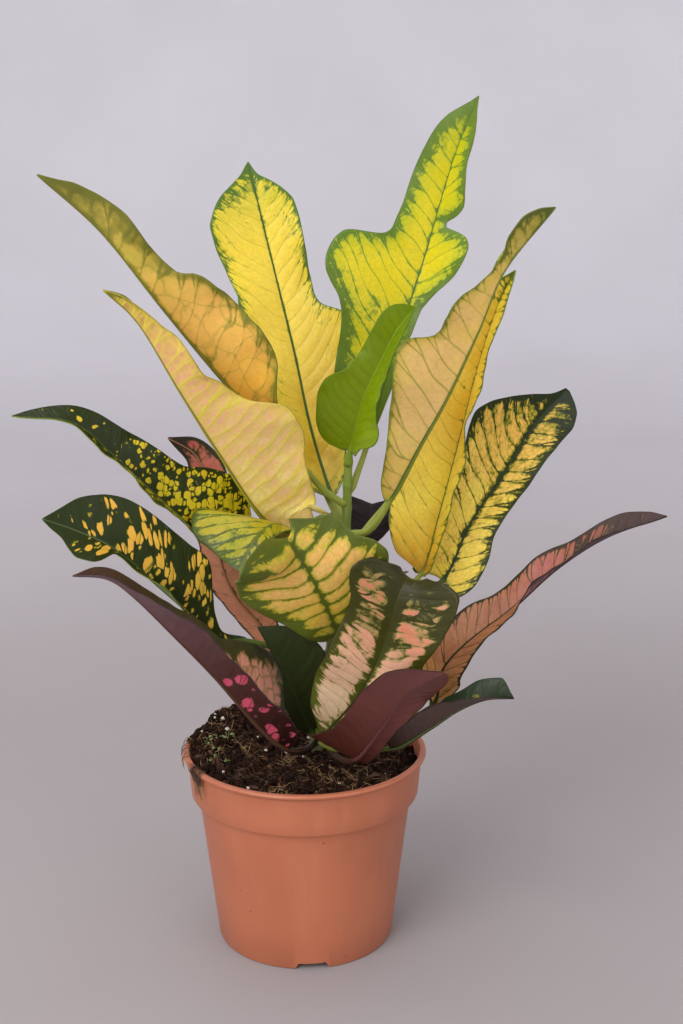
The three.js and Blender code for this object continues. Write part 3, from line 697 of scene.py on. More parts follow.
@dataclass
class LeafBlade:
    """One leaf: a stalk that runs on as the midrib, and a thin blade folded about it.

    Sizes are in millimetres.

    Attributes:
        shape: The leaf's form.
        upper: Pattern of the upper face.
        under: Pattern of the underside.
        stem: The stem that it grows from.
        seed: Shifts the chance patterns.
        cell: Aimed length of a face's side.
        fewest_columns: Fewest faces across half the blade, as most_columns is the most.
        full_wave: Width from which the waves have their full height.
        ripple: Height of the fine ripples along the margin.
        ripple_pace: Ripples for each wave.
        quilt: How far the blade puffs up between side veins.
        quilt_in: Distances from the midrib between which the puffs grow to full height.
        quilt_out: The same from the margin.
        stalk_rings: Its rings up to the blade.
        stalk_share: How far below 0 the share of the blade runs down the stalk.
        rib_step: Distance between the midrib's rings, in cells.
        rib_sunk: Share of the blade over which the midrib sinks into it.
        rib_proud: How far the sunk midrib stands out of the upper face.
        off_blade: Distance to the margin that stalk and midrib are given.
        turned: How little a face of the stalk looks up where it counts as under.
        clearance: Gap between the stem's plain radius and the leaf's seat.
        seat_lift: How much further out a stalk that rises straight up is seated.
        heel_swell: How much thicker the stalk's heel is, as a share.
        heel_drop: How far down the heel of such a stalk starts.
        heel_depth: Where in the stem the heel starts, as a share of the stem's radius.
    """

    shape: LeafShape
    upper: Pattern
    under: Pattern
    stem: Stem
    seed: float
    cell: float = 1.4
    fewest_columns: int = 8
    most_columns: int = 32
    thickness: float = 0.55
    full_wave: float = 12.0
    ripple: float = 0.35
    ripple_pace: float = 3.3
    quilt: float = 0.32
    quilt_in: tuple[float, float] = (0.5, 7.0)
    quilt_out: tuple[float, float] = (0.0, 5.0)
    stalk_radius: float = 1.6
    stalk_sides: int = 12
    stalk_rings: int = 10
    stalk_share: float = 0.1
    tip_radius: float = 0.3
    rib_step: float = 1.5
    rib_sunk: float = 0.08
    rib_proud: float = 0.08
    off_blade: float = 99.0
    turned: float = 0.1
    clearance: float = 0.45
    seat_lift: float = 1.7
    heel_swell: float = 0.45
    heel_drop: float = 3.0
    heel_depth: float = 0.4

    def __post_init__(self) -> None:
        """Lays out the leaf's spine from its seat on the stem."""
        centre, radius = self.stem.at(self.shape.root)
        away = np.array(self.shape.spine[0], float) - centre
        rise = unit(away)[2]
        flat = unit(np.array([away[0], away[1], 0.0]))
        seat = centre + flat * (radius + self.seat_lift * abs(rise) + self.clearance)
        sunk = flat * radius * self.heel_depth
        self.heel = centre + sunk - np.array([0.0, 0.0, self.heel_drop * rise])
        self.line = Line((tuple(seat), *self.shape.spine))
        self.start = self.line.marks[self.shape.blade]
        self.length = self.line.total - self.start

    def frame(self, share: float) -> tuple[np.ndarray, ...]:
        """Finds how the blade lies at a place along it.

        Args:
            share: Share of the blade, 0 at its base and 1 at its tip.

        Returns:
            The midrib's place, and the directions along it, out of the upper face and to the right.
        """
        distance = self.start + self.length * share
        along = self.line.tangent(distance)
        up = even(self.shape.face, share)
        up = unit(up - up.dot(along) * along)
        return self.line.point(distance), along, up, np.cross(along, up)

    def course(self, along: float, across: float) -> float:
        """Finds where the side vein through a place left the midrib.

        Args:
            along: Distance up the blade.
            across: Distance from the midrib, below 0 on the left.

        Returns:
            Distance up the blade.
        """
        veins = self.upper
        out = abs(across)
        start = along - veins.slant * out - veins.bend * out * out
        spot = (start * 0.07, out * 0.06 + self.seed * 5.0, math.copysign(3.0, across))
        return start + noise.noise(Vector(spot)) * veins.spacing * veins.wobble

    def build(self) -> bpy.types.Object:
        """Makes the leaf's mesh, writes the attributes its patterns read, and dresses it.

        Returns:
            The leaf's piece.
        """
        bm = bmesh.new()
        place = bm.verts.layers.float_vector.new("leaf_mm")
        run = bm.verts.layers.float_vector.new("leaf_run")
        self._blade(bm, place, run)
        self._stalk(bm, place, run)
        name = self.shape.name
        under = replace(self.under, spacing=self.upper.spacing, raised=1.0)
        skins = [
            self.upper.material(f"{name}_{Side.UPPER.name.lower()}", self.seed),
            under.material(f"{name}_{Side.UNDER.name.lower()}", self.seed + 1),
        ]
        piece = new_piece(name + "_blade", bm, skins)
        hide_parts(name)
        return piece

    def _blade(self, bm: bmesh.types.BMesh, place: object, run: object) -> None:
        """Shapes a grid into the waved, folded blade and gives it its thickness.

        Args:
            bm: The mesh that gets the blade.
            place: Layer for distances across and along, and to the margin.
            run: Layer for the course of the veins and the share of the blade.
        """
        shape = self.shape
        widest = max(row[1] for row in shape.left + shape.right)
        half = math.ceil(widest / self.cell)
        columns = 2 * min(self.most_columns, max(self.fewest_columns, half))
        rows = math.ceil(self.length / self.cell)
        bmesh.ops.create_grid(bm, x_segments=columns, y_segments=rows, size=1.0)
        shares = [row / rows for row in range(rows + 1)]
        frames = [self.frame(share) for share in shares]
        widths = [(curved(shape.left, share)[0], curved(shape.right, share)[0]) for share in shares]
        folds = [np.radians(even(shape.fold, share)) for share in shares]
        ahead = [float(even(shape.sweep, share)) for share in shares]
        rim = np.array([
            (sign * width[side], share * self.length + lead * width[side])
            for share, width, lead in zip(shares, widths, ahead)
            for side, sign in ((0, -1), (1, 1))
        ])
        height, count = shape.wave
        for vert in bm.verts:
            u, share = vert.co.x, (vert.co.y + 1) / 2
            row = round(share * rows)
            side = 0 if u < 0 else 1
            sign, out = math.copysign(1.0, u), abs(u)
            centre, along, up, right = frames[row]
            width, fold = widths[row][side], folds[row][side]
            lead = ahead[row] * width * out * out
            swell = min(1.0, width / self.full_wave) * math.sin(math.pi * share)
            wave = height * swell * out * out * math.sin(2 * math.pi * count * share + sign)
            turn = 2 * math.pi * count * self.ripple_pace * share
            wave += self.ripple * swell * out ** 4 * math.sin(turn + 2 * sign)
            flat = (sign * width * out, share * self.length + lead)
            course = self.course(flat[1], flat[0])
            to_rim = float(np.min(np.hypot(rim[:, 0] - flat[0], rim[:, 1] - flat[1])))
            phase = course / self.upper.spacing + 0.25 * sign
            puff = 1 - (2 * abs(phase - math.floor(phase) - 0.5)) ** 2
            puff *= smoothstep(*self.quilt_in, width * out) * smoothstep(*self.quilt_out, to_rim)
            wave += self.quilt * puff
            spot = (
                centre + along * lead
                + right * (sign * width * out * math.cos(fold) - sign * wave * math.sin(fold))
                + up * (width * out * math.sin(fold) + wave * math.cos(fold))
            )
            vert.co = Vector(spot * MM)
            vert[place] = (flat[0], flat[1], to_rim)
            vert[run] = (course, share, 0.0)
        bm.normal_update()
        for vert in bm.verts:
            vert.co += vert.normal * (self.thickness / 2 * MM)
        upper = set(bm.faces)
        bmesh.ops.solidify(bm, geom=bm.faces[:], thickness=self.thickness * MM)
        bm.normal_update()
        for face in bm.faces:
            if face not in upper:
                face.material_index = Side.UNDER.value

    def _stalk(self, bm: bmesh.types.BMesh, place: object, run: object) -> None:
        """Adds the stalk: it grows out of the stem with a swollen heel and tapers into the midrib.

        Args:
            bm: The mesh that gets the stalk.
            place: The blade's first layer.
            run: Its second.
        """
        rings = []
        shares = []
        for i in range(self.stalk_rings):
            distance = self.start * max(0, i - 1) / (self.stalk_rings - 1)
            down = 1 - i / self.stalk_rings
            along = self.line.tangent(distance)
            up = even(self.shape.face, 0.0)
            up = unit(up - up.dot(along) * along)
            centre = self.line.point(distance) if i else self.heel
            radius = self.stalk_radius * (1 + self.heel_swell * down ** 2)
            rings.append((centre, np.cross(along, up), up, radius))
            shares.append(-self.stalk_share * down)
        count = math.ceil(self.length / (self.cell * self.rib_step))
        for i in range(count):
            share = i / count
            centre, _, up, right = self.frame(share)
            radius = self.stalk_radius + (self.tip_radius - self.stalk_radius) * share ** 0.5
            depth = max(0.0, radius - self.thickness / 2 - self.rib_proud)
            sink = smoothstep(0.0, self.rib_sunk, share) * depth
            rings.append((centre - up * sink, right, up, radius))
            shares.append(share)
        placed = tube(bm, rings, self.stalk_sides)
        fresh = {face for vert, _ in placed for face in vert.link_faces}
        for vert, share in placed:
            vert[place] = (0.0, 0.0, self.off_blade)
            vert[run] = (0.0, shares[round(share * (len(rings) - 1))], 0.0)
        bmesh.ops.recalc_face_normals(bm, faces=list(fresh))
        bm.normal_update()
        ups = [ring[2] for ring in rings]
        share_of = dict(placed)
        for face in fresh:
            share = sum(share_of.get(vert, 0.0) for vert in face.verts) / len(face.verts)
            up = Vector(ups[round(share * (len(rings) - 1))])
            if face.normal.dot(up) < self.turned:
                face.material_index = Side.UNDER.value


PALE = Pattern(
    fields=ramp("cfa430", "dcc040", "c8b828"), tint="e0c858", greens=ramp("5f7420", "4c6818"),
    cover=((0, 0), (0.8, 0), (1, 0.25)), halo="a8a828", vein="8c8c2c", midrib="7a7c28",
    edge="6c7828",
)
DARK = Pattern(
    fields=ramp("c0b01c", "c4a838"), tint="c89c3c", greens=ramp("2c360c", "242e10"), cover=ramp(0.7, 1),
    halo="70740f", vein="34441a", midrib="46582a", edge="1f280e", lace=(6, 0.3, 0.24),
    islet=(3.6, 0.45, 1), along_veins=False, round=1.5, mottle=0.4, fade=0.08, roughness=0.36,
    shine=0.2, glow=0.4, petiole="5f7030",
)
PURPLE = Pattern(
    fields=ramp("6a3434", "60383c"), tint="74424a", greens=ramp("46242a", "3c2428"), cover=ramp(0.5, 0.6),
    halo="5e343a", vein="34181c", midrib="54302f", edge="241c14", roughness=0.48, shine=0.24, glow=0.3,
    petiole="38241a",
)

# Each leaf's upper and under pattern, by the node that it stands for.
PATTERNS: dict[str, tuple[Pattern, Pattern]] = {
    "leaf_young": (
        replace(
            DARK, fields=ramp("8a9e18", "849806"), tint="93a61e", greens=ramp("758a0a", "6c8206", "5f7602"),
            cover=ramp(0.4, 0.75), halo="7d9008", vein="5e740a", midrib="7a8e14", edge="54700c",
            vein_width=0.7, vein_mix=0.5, spacing=6, lace=(4, 0.1, 0), islet=(2.6, 0.05, 1.8), round=0,
            cloud=(14, 0.1), mottle=0.2, fade=0.45, roughness=0.33, petiole="7e9434",
        ),
        replace(
            DARK, fields=ramp("8c9c34", "84942c"), tint="94a43e", greens=ramp("768a24", "6c8220"),
            cover=ramp(0.4, 0.75), halo="7d9028", vein="66801c", midrib="94a43e", edge="54701c",
            lace=(4, 0.1, 0), islet=(2.6, 0.05, 1.8), round=0, fade=0.45, petiole="7e9434",
        ),
    ),
    "leaf_crown_lobed": (
        replace(
            PALE, fields=((0, "a0a018"), (0.2, "b8b00c"), (0.45, "d0c00a"), (0.8, "c8be0c"), (1, "a4b018")),
            tint="d4c42a", greens=ramp("5a6e14", "5c7820", "667f2c"),
            cover=((0, 0.44), (0.22, 0.3), (0.45, 0.14), (0.6, 0.03), (0.86, 0.16), (1, 0.6)),
            halo="a2ab22", vein="72901e", midrib="4e6a18", edge="486820", shore=(15, 0.8, "a4b01e"),
            vein_width=0.6, spacing=9, slant=0.6, bend=0.007, midrib_width=0.8, margin=(8, 0.6),
            rib=(2.2, 0.4), branch=(1.4, 0.22), lace=(14, 0.26, 0), islet=(3.4, 0.12, 1), along_veins=False,
        ),
        replace(PALE, cover=ramp(0.1, 0.3), margin=(6, 0.45)),
    ),
    "leaf_upper_left": (
        replace(
            PALE,
            # Painted shade: the fields darken towards the blade's base, where the crown leaf shades it.
            fields=((0, "b08a10"), (0.22, "c9a620"), (0.45, "e4c84c"), (0.75, "e6cc3e"), (1, "b8b828")),
            tint="e8cf50", greens=ramp("46601a", "4e6e1e"),
            cover=((0, 0), (0.7, 0), (0.86, 0.14), (0.95, 0.3), (1, 0.5)), halo="b4b02c", vein="aa9c2c",
            midrib="435c18", edge="587222", shore=(9, 0.7, "dac92a"), vein_mix=0.35, spacing=9, slant=0.65,
            midrib_width=1.1, margin=(2.6, 0.5), rib=(1.6, 0.45), branch=(1.2, 0.06), lace=(14, 0.32, 0),
            islet=(2.6, 0.14, 1.6), mottle=0.9, fade=0.22,
        ),
        replace(PALE, fields=ramp("cfa450", "ccb848")),
    ),
    "leaf_left_long": (
        replace(PALE, fields=ramp("d0a030", "94902c"), cover=ramp(0, 0.5), spacing=12, slant=0.5),
        replace(
            PALE, fields=ramp("efb844", "ecba4a", "e8bc60", "bcae48", "80803a"), tint="f2c464",
            greens=ramp("8c862c", "6c6e2a"), cover=((0, 0), (0.5, 0.05), (0.8, 0.3), (1, 0.65)),
            halo="a8983a", vein="94903a", midrib="7c7a28", edge="666a28", shore=(8, 0.5, "a89a38"),
            vein_width=0.9, vein_mix=0.2, net=(1.1, 0.3), margin=(4.5, 0.42), branch=(1.5, 0.15),
            lace=(10, 0.3, 0.1), islet=(17, 0.05, 0.8), along_veins=False, fade=0.28,
        ),
    ),
    "leaf_left_peach": (
        replace(
            PALE, fields=ramp("d2b030", "d8b62c"), cover=ramp(0, 0.3), spacing=10, slant=0.55, bend=0.004,
            wobble=0.5,
        ),
        replace(
            PALE, fields=((0, "f8e6a2"), (0.25, "f6dc96"), (0.5, "f0c88c"), (0.75, "dcae78"),
            (0.9, "c09c50"), (1, "9c7e34")), tint="f0b090", greens=ramp("98922c", "7c7c28"),
            cover=((0, 0), (0.8, 0), (1, 0.4)), halo="bca83c", vein="e0d050", midrib="9c962c",
            edge="a8983c", shore=(5, 0.5, "c4ac48"), tint_share=0.55, vein_width=1.4, vein_mix=0.8,
            bend=0.004, net=(1.5, 0.5), margin=(2, 0.3), rib=(1.5, 0.25), branch=(0.8, 0.05),
            islet=(5, 0.05, 1.3),
        ),
    ),
    "leaf_right_peach": (
        replace(
            PALE, fields=ramp("c8a020", "d2ac2c", "b8a428"), tint="dcbc40", greens=ramp("4c5f1c", "3c5416"),
            vein="5c6c1c", midrib="4c5f1c", spacing=11, slant=0.6, bend=0.004, wobble=0.35,
            margin=(2.5, 0.4),
        ),
        replace(
            PALE, fields=((0, "d4b650"), (0.3, "d4ba6c"), (0.6, "d0b25c"), (0.8, "b89e4c"), (1, "747640")),
            tint="d6ae78", greens=ramp("848024", "50581e"), cover=((0, 0), (0.75, 0.04), (1, 0.5)),
            halo="a89a34", vein="96903a", midrib="6e7428", edge="646c28", shore=(7, 0.6, "b2a038"),
            vein_width=0.8, net=(0.7, 0.14), margin=(2.6, 0.5), rib=(1.6, 0.3), branch=(1, 0.12),
            lace=(8, 0.22, 0.04), islet=(8, 0.05, 1), along_veins=False, fade=0.24,
        ),
    ),
    "leaf_right_yellow": (
        replace(
            # Painted shade: the fields darken from the middle towards the tip, where the top of the blade
            # lies in shadow.
            PALE, fields=((0, "c0800c"), (0.1, "dcb42c"), (0.25, "f0dc58"), (0.5, "e0bc3c"),
            (0.7, "dcb838"), (1, "c8b030")), tint="dfc450", greens=ramp("6c7020", "4c5f16"), halo="a8981e",
            vein="a89a2e", midrib="747420", vein_mix=0.5, spacing=10, slant=0.55, margin=(2.5, 0.4),
        ),
        replace(PALE, fields=ramp("caa050", "caa858")),
    ),
    "leaf_right_spotted": (
        replace(
            DARK, fields=((0, "ecd03c"), (0.4, "f2d85c"), (0.7, "eabc58"), (1, "dca45c")), tint="e8b458",
            greens=ramp("34400e", "2e3a0c", "1e2810"),
            cover=((0, 0.06), (0.5, 0.12), (0.75, 0.26), (1, 0.64)), halo="a8a020", vein="465212",
            midrib="2c3812", tint_share=0.45, halo_width=0.2, spacing=8.5, slant=0.5, margin=(3.6, 0.6),
            rib=(3.2, 0.6), branch=(1.4, 0.3), lace=(8, 0.28, 0.06), islet=(2.4, 0.16, 1.4),
            along_veins=True, round=0.2, mottle=0.7, fade=0.16,
        ),
        replace(PALE, fields=ramp("b08c3c", "8c7430"), cover=ramp(0.1, 0.6)),
    ),
    "leaf_right_low": (
        replace(
            DARK, fields=((0, "d8b85c"), (0.16, "c88c5c"), (0.32, "ac7450"), (0.4, "9c644c"),
            (0.62, "a85c54"), (1, "6c3c40")), tint="b07458", greens=ramp("3a3c12", "3a2c14", "4a3838"),
            cover=((0, 0.02), (0.45, 0.08), (0.62, 0.28), (0.8, 0.5), (1, 0.95)), halo="7c5c34",
            vein="443c14", midrib="343412", edge="262410", vein_mix=0.5, slant=0.7, margin=(2.4, 0.6),
            rib=(1.4, 0.5), branch=(0.9, 0.25), lace=(6, 0.2, 0.02), islet=(3.4, 0.12, 1.8),
            along_veins=True, round=0, petiole="6c6c34",
        ),
        replace(
            PURPLE, fields=((0, "a87c54"), (0.4, "9c5c5c"), (1, "5c3838")), tint="b06a70",
            cover=((0, 0.1), (0.4, 0.3), (1, 0.7)),
        ),
    ),
    "leaf_right_bottom": (
        replace(DARK, greens=ramp("26321c", "222e18"), cover=ramp(0.95, 0.95), lace=(6, 0, 0), round=0),
        replace(
            PURPLE, greens=ramp("2c1c16", "4a3834", "443a2e"), cover=ramp(0.8, 0.8), midrib="3c2a22",
            petiole="2e2014",
        ),
    ),
    "leaf_front_maroon": (
        replace(
            PURPLE, fields=ramp("5e1f1c", "66282a"), tint="6c3436",
            greens=((0, "34100a"), (0.4, "4c150e"), (1, "501916")), cover=ramp(0.8, 0.8), vein="34100c",
            midrib="52201a", spacing=6, roughness=0.42,
        ),
        replace(
            PURPLE, fields=ramp("5c2c2a", "6c4646"), tint="64383a",
            greens=ramp("421c14", "5c302a", "663f3a"), cover=ramp(0.8, 0.8),
        ),
    ),
    "leaf_front_pink": (
        replace(
            DARK, fields=((0, "c8b08e"), (0.3, "dcc09c"), (0.5, "d8ac8c"), (0.66, "c47c5e"), (1, "b46a4e")),
            tint="d4a48a",
            greens=((0, "5c642a"), (0.3, "525a1c"), (0.6, "3c3c10"), (0.8, "30300c"), (1, "2c280c")),
            cover=((0, -0.06), (0.36, 0), (0.54, 0.24), (0.7, 0.46), (0.85, 0.64), (1, 1)), halo="8c8444",
            vein="8c7c48", midrib="3c3c14", edge="3a3412", vein_mix=0.3, spacing=6.4, slant=0.25,
            bend=0.006, margin=(6.4, 0.68), rib=(5.4, 0.66), branch=(1, 0.2), lace=(6, 0.2, 0),
            islet=(4, 0.2, 2.6), along_veins=True, round=0.35, fade=0.14, petiole="88883c",
        ),
        replace(PURPLE, fields=ramp("b08c70", "744840"), cover=ramp(0.1, 0.6)),
    ),
    "leaf_front_green": (
        replace(
            PALE, fields=((0, "c4b03a"), (0.3, "dcb44c"), (0.5, "e6b86c"), (0.7, "d8a848"), (1, "b0a234")),
            tint="e0c06a", greens=ramp("5a6418", "505c18"),
            cover=((0, 0.1), (0.5, 0.04), (0.8, 0.16), (1, 0.6)), halo="b4ac2c", vein="66681a",
            midrib="5a6018", edge="465418", shore=(11, 0.8, "bcb42c"), halo_width=0.26, vein_width=0.9,
            vein_mix=0.8, spacing=9, slant=0.15, wobble=0.4, margin=(9, 0.68), rib=(3.6, 0.62),
            branch=(2.3, 0.42), lace=(10, 0.26, 0.04),
        ),
        replace(PALE, fields=ramp("b49c3c", "9c9038"), cover=ramp(0.1, 0.5)),
    ),
    "leaf_front_folded": (
        replace(
            PALE, fields=ramp("b0a018", "a89c18", "8c8818"), tint="bca63c", greens=ramp("586210", "4a5824"),
            cover=((0, 0.1), (0.6, 0.2), (1, 0.5)), vein="6c7416", midrib="70741c", edge="465a2c",
            spacing=7, margin=(3.4, 0.55),
        ),
        replace(PALE, fields=ramp("a89a34", "8c8a30"), cover=ramp(0.15, 0.4)),
    ),
    "leaf_left_purple": (
        replace(
            PURPLE, fields=ramp("d89c80", "e09884", "a86458"), tint="eca08c",
            greens=ramp("3c4216", "44401a", "402218"), cover=((0, -0.05), (0.45, 0), (0.6, 0.3), (1, 0.8)),
            halo="a07c3a", vein="8a7834", midrib="44380f", edge="342c10", spacing=9, net=(1.5, 0.6),
            margin=(15, 0.85), rib=(1.4, 0.3), branch=(1.4, 0.1), lace=(6, 0.1, 0.2), islet=(8, 0.2, 1),
            along_veins=False, roughness=0.42,
        ),
        replace(
            PURPLE, fields=((0, "b4485c"), (0.4, "b04054"), (1, "60383c")), tint="c85c70",
            # Painted shade: the green is darkest at the base, where the blade lies low by the pot in
            # shadow; further up it is the leaf's own dark purple-green.
            greens=((0, "200c08"), (0.35, "44221c"), (0.65, "5c3e40"), (1, "6c5656")),
            cover=((0, 0.7), (0.06, 0.6), (0.42, 0.66), (0.54, 1.2), (1, 1.5)), halo="6c3440",
            edge="40303a", margin=(2.6, 0.5), rib=(2.6, 0.4), branch=(1, 0), lace=(2, 0.1, 0.24),
            islet=(8, 0.4, 1), along_veins=False, round=1.7, cloud=(12, 0.15), fade=0.08, petiole="2a1410",
        ),
    ),
    "leaf_left_spotted_low": (
        replace(
            DARK, fields=((0, "dcc844"), (0.4, "dcb440"), (1, "cc9838")), tint="dca848",
            cover=((0, 0.26), (0.35, 0.36), (0.65, 0.5), (0.85, 0.9), (1, 1.5)), halo="8a8618",
            midrib="4c5c30", margin=(3.2, 0.6), rib=(2, 0.5), branch=(1.2, 0.14), islet=(4, 0.45, 1.7),
            along_veins=True, cloud=(11, 0.34),
        ),
        replace(PALE, fields=ramp("8c8434", "585f2c"), cover=ramp(0.4, 0.8)),
    ),
    "leaf_left_spotted": (
        replace(
            DARK, fields=((0, "cabc18"), (0.4, "c8b61c"), (1, "ccb030")), tint="d4b430",
            cover=((0, 0), (0.26, 0.1), (0.4, 0.4), (0.6, 0.68), (0.8, 0.92), (1, 1.5)), midrib="5c6c24",
            margin=(3, 0.6), rib=(2, 0.5), branch=(1.2, 0.1), islet=(3.8, 0.5, 1), cloud=(12, 0.42),
        ),
        replace(PALE, fields=ramp("8c8434", "585f2c"), cover=ramp(0.4, 0.8)),
    ),
    "leaf_rear_left": (
        replace(
            PALE, fields=((0, "b88840"), (0.6, "a87448"), (0.85, "c44c56"), (1, "b8404c")),
            cover=((0, 0.1), (0.8, 0.2), (1, 0.8)),
        ),
        replace(
            PURPLE, fields=((0, "b87a56"), (0.5, "ac7252"), (0.8, "b05c4c"), (1, "b84850")), tint="b87a5e",
            greens=ramp("2c2c0c", "2a2414"), cover=((0, 0), (0.8, 0.05), (1, 0.8)), halo="5c4424",
            vein="74502e", midrib="9c6c48", vein_mix=0.3, margin=(2.6, 0.6), branch=(0.8, 0.05),
        ),
    ),
    "leaf_back_dark": (
        # Near black: partly the leaf's own deep maroon, partly painted shade, as it stands in shadow behind
        # the stem.
        replace(
            PURPLE, greens=ramp("1a0e0c", "201210"), cover=ramp(1, 1), vein="1a0e0c", midrib="2a1814",
            roughness=0.7, coat=0, shine=0.1, glow=0,
        ),
        replace(PURPLE, greens=ramp("1c100e", "241614"), cover=ramp(0.8, 0.9)),
    ),
    "leaf_low_green": (
        # Dark green: partly the leaf's own colour, partly painted shade, as the leaf fills a deep shadow
        # beside the purple leaf's far half.
        replace(
            DARK, greens=ramp("242a10", "2c3614"), cover=ramp(1, 1), vein="2a3414", midrib="2c3816",
            islet=(3, 0.1, 1), round=0, roughness=0.45, coat=0, shine=0.15,
        ),
        replace(DARK, greens=ramp("36441e", "2e3c1a"), cover=ramp(2, 2)),
    ),
    "leaf_back_left_high": (
        replace(PALE, cover=((0, 0.04), (0.6, 0.1), (1, 0.5)), spacing=10, lace=(9, 0.3, 0)),
        replace(PALE, fields=ramp("d0a654", "b8a044"), net=(1, 0.4), islet=(7, 0.05, 1.2)),
    ),
    "leaf_back_right_high": (
        replace(PALE, cover=((0, 0.06), (0.6, 0.14), (1, 0.5)), spacing=9, lace=(9, 0.3, 0)),
        replace(PALE, fields=ramp("c89c50", "b89c48"), net=(1, 0.4), islet=(7, 0.05, 1.2)),
    ),
    "leaf_back_left_low": (
        replace(DARK, cover=ramp(0.5, 0.7, 1.4), margin=(3, 0.5), branch=(1.2, 0.14)),
        replace(PALE, fields=ramp("8c8434", "585f2c"), cover=ramp(0.4, 0.8)),
    ),
    "leaf_back_right_low": (
        replace(
            PURPLE, fields=ramp("944c40", "743438"), greens=ramp("343418", "402224"), cover=ramp(0.35, 0.8),
            margin=(3, 0.4), branch=(1.4, 0.3),
        ),
        replace(PURPLE, cover=ramp(0.6, 0.9)),
    ),
}

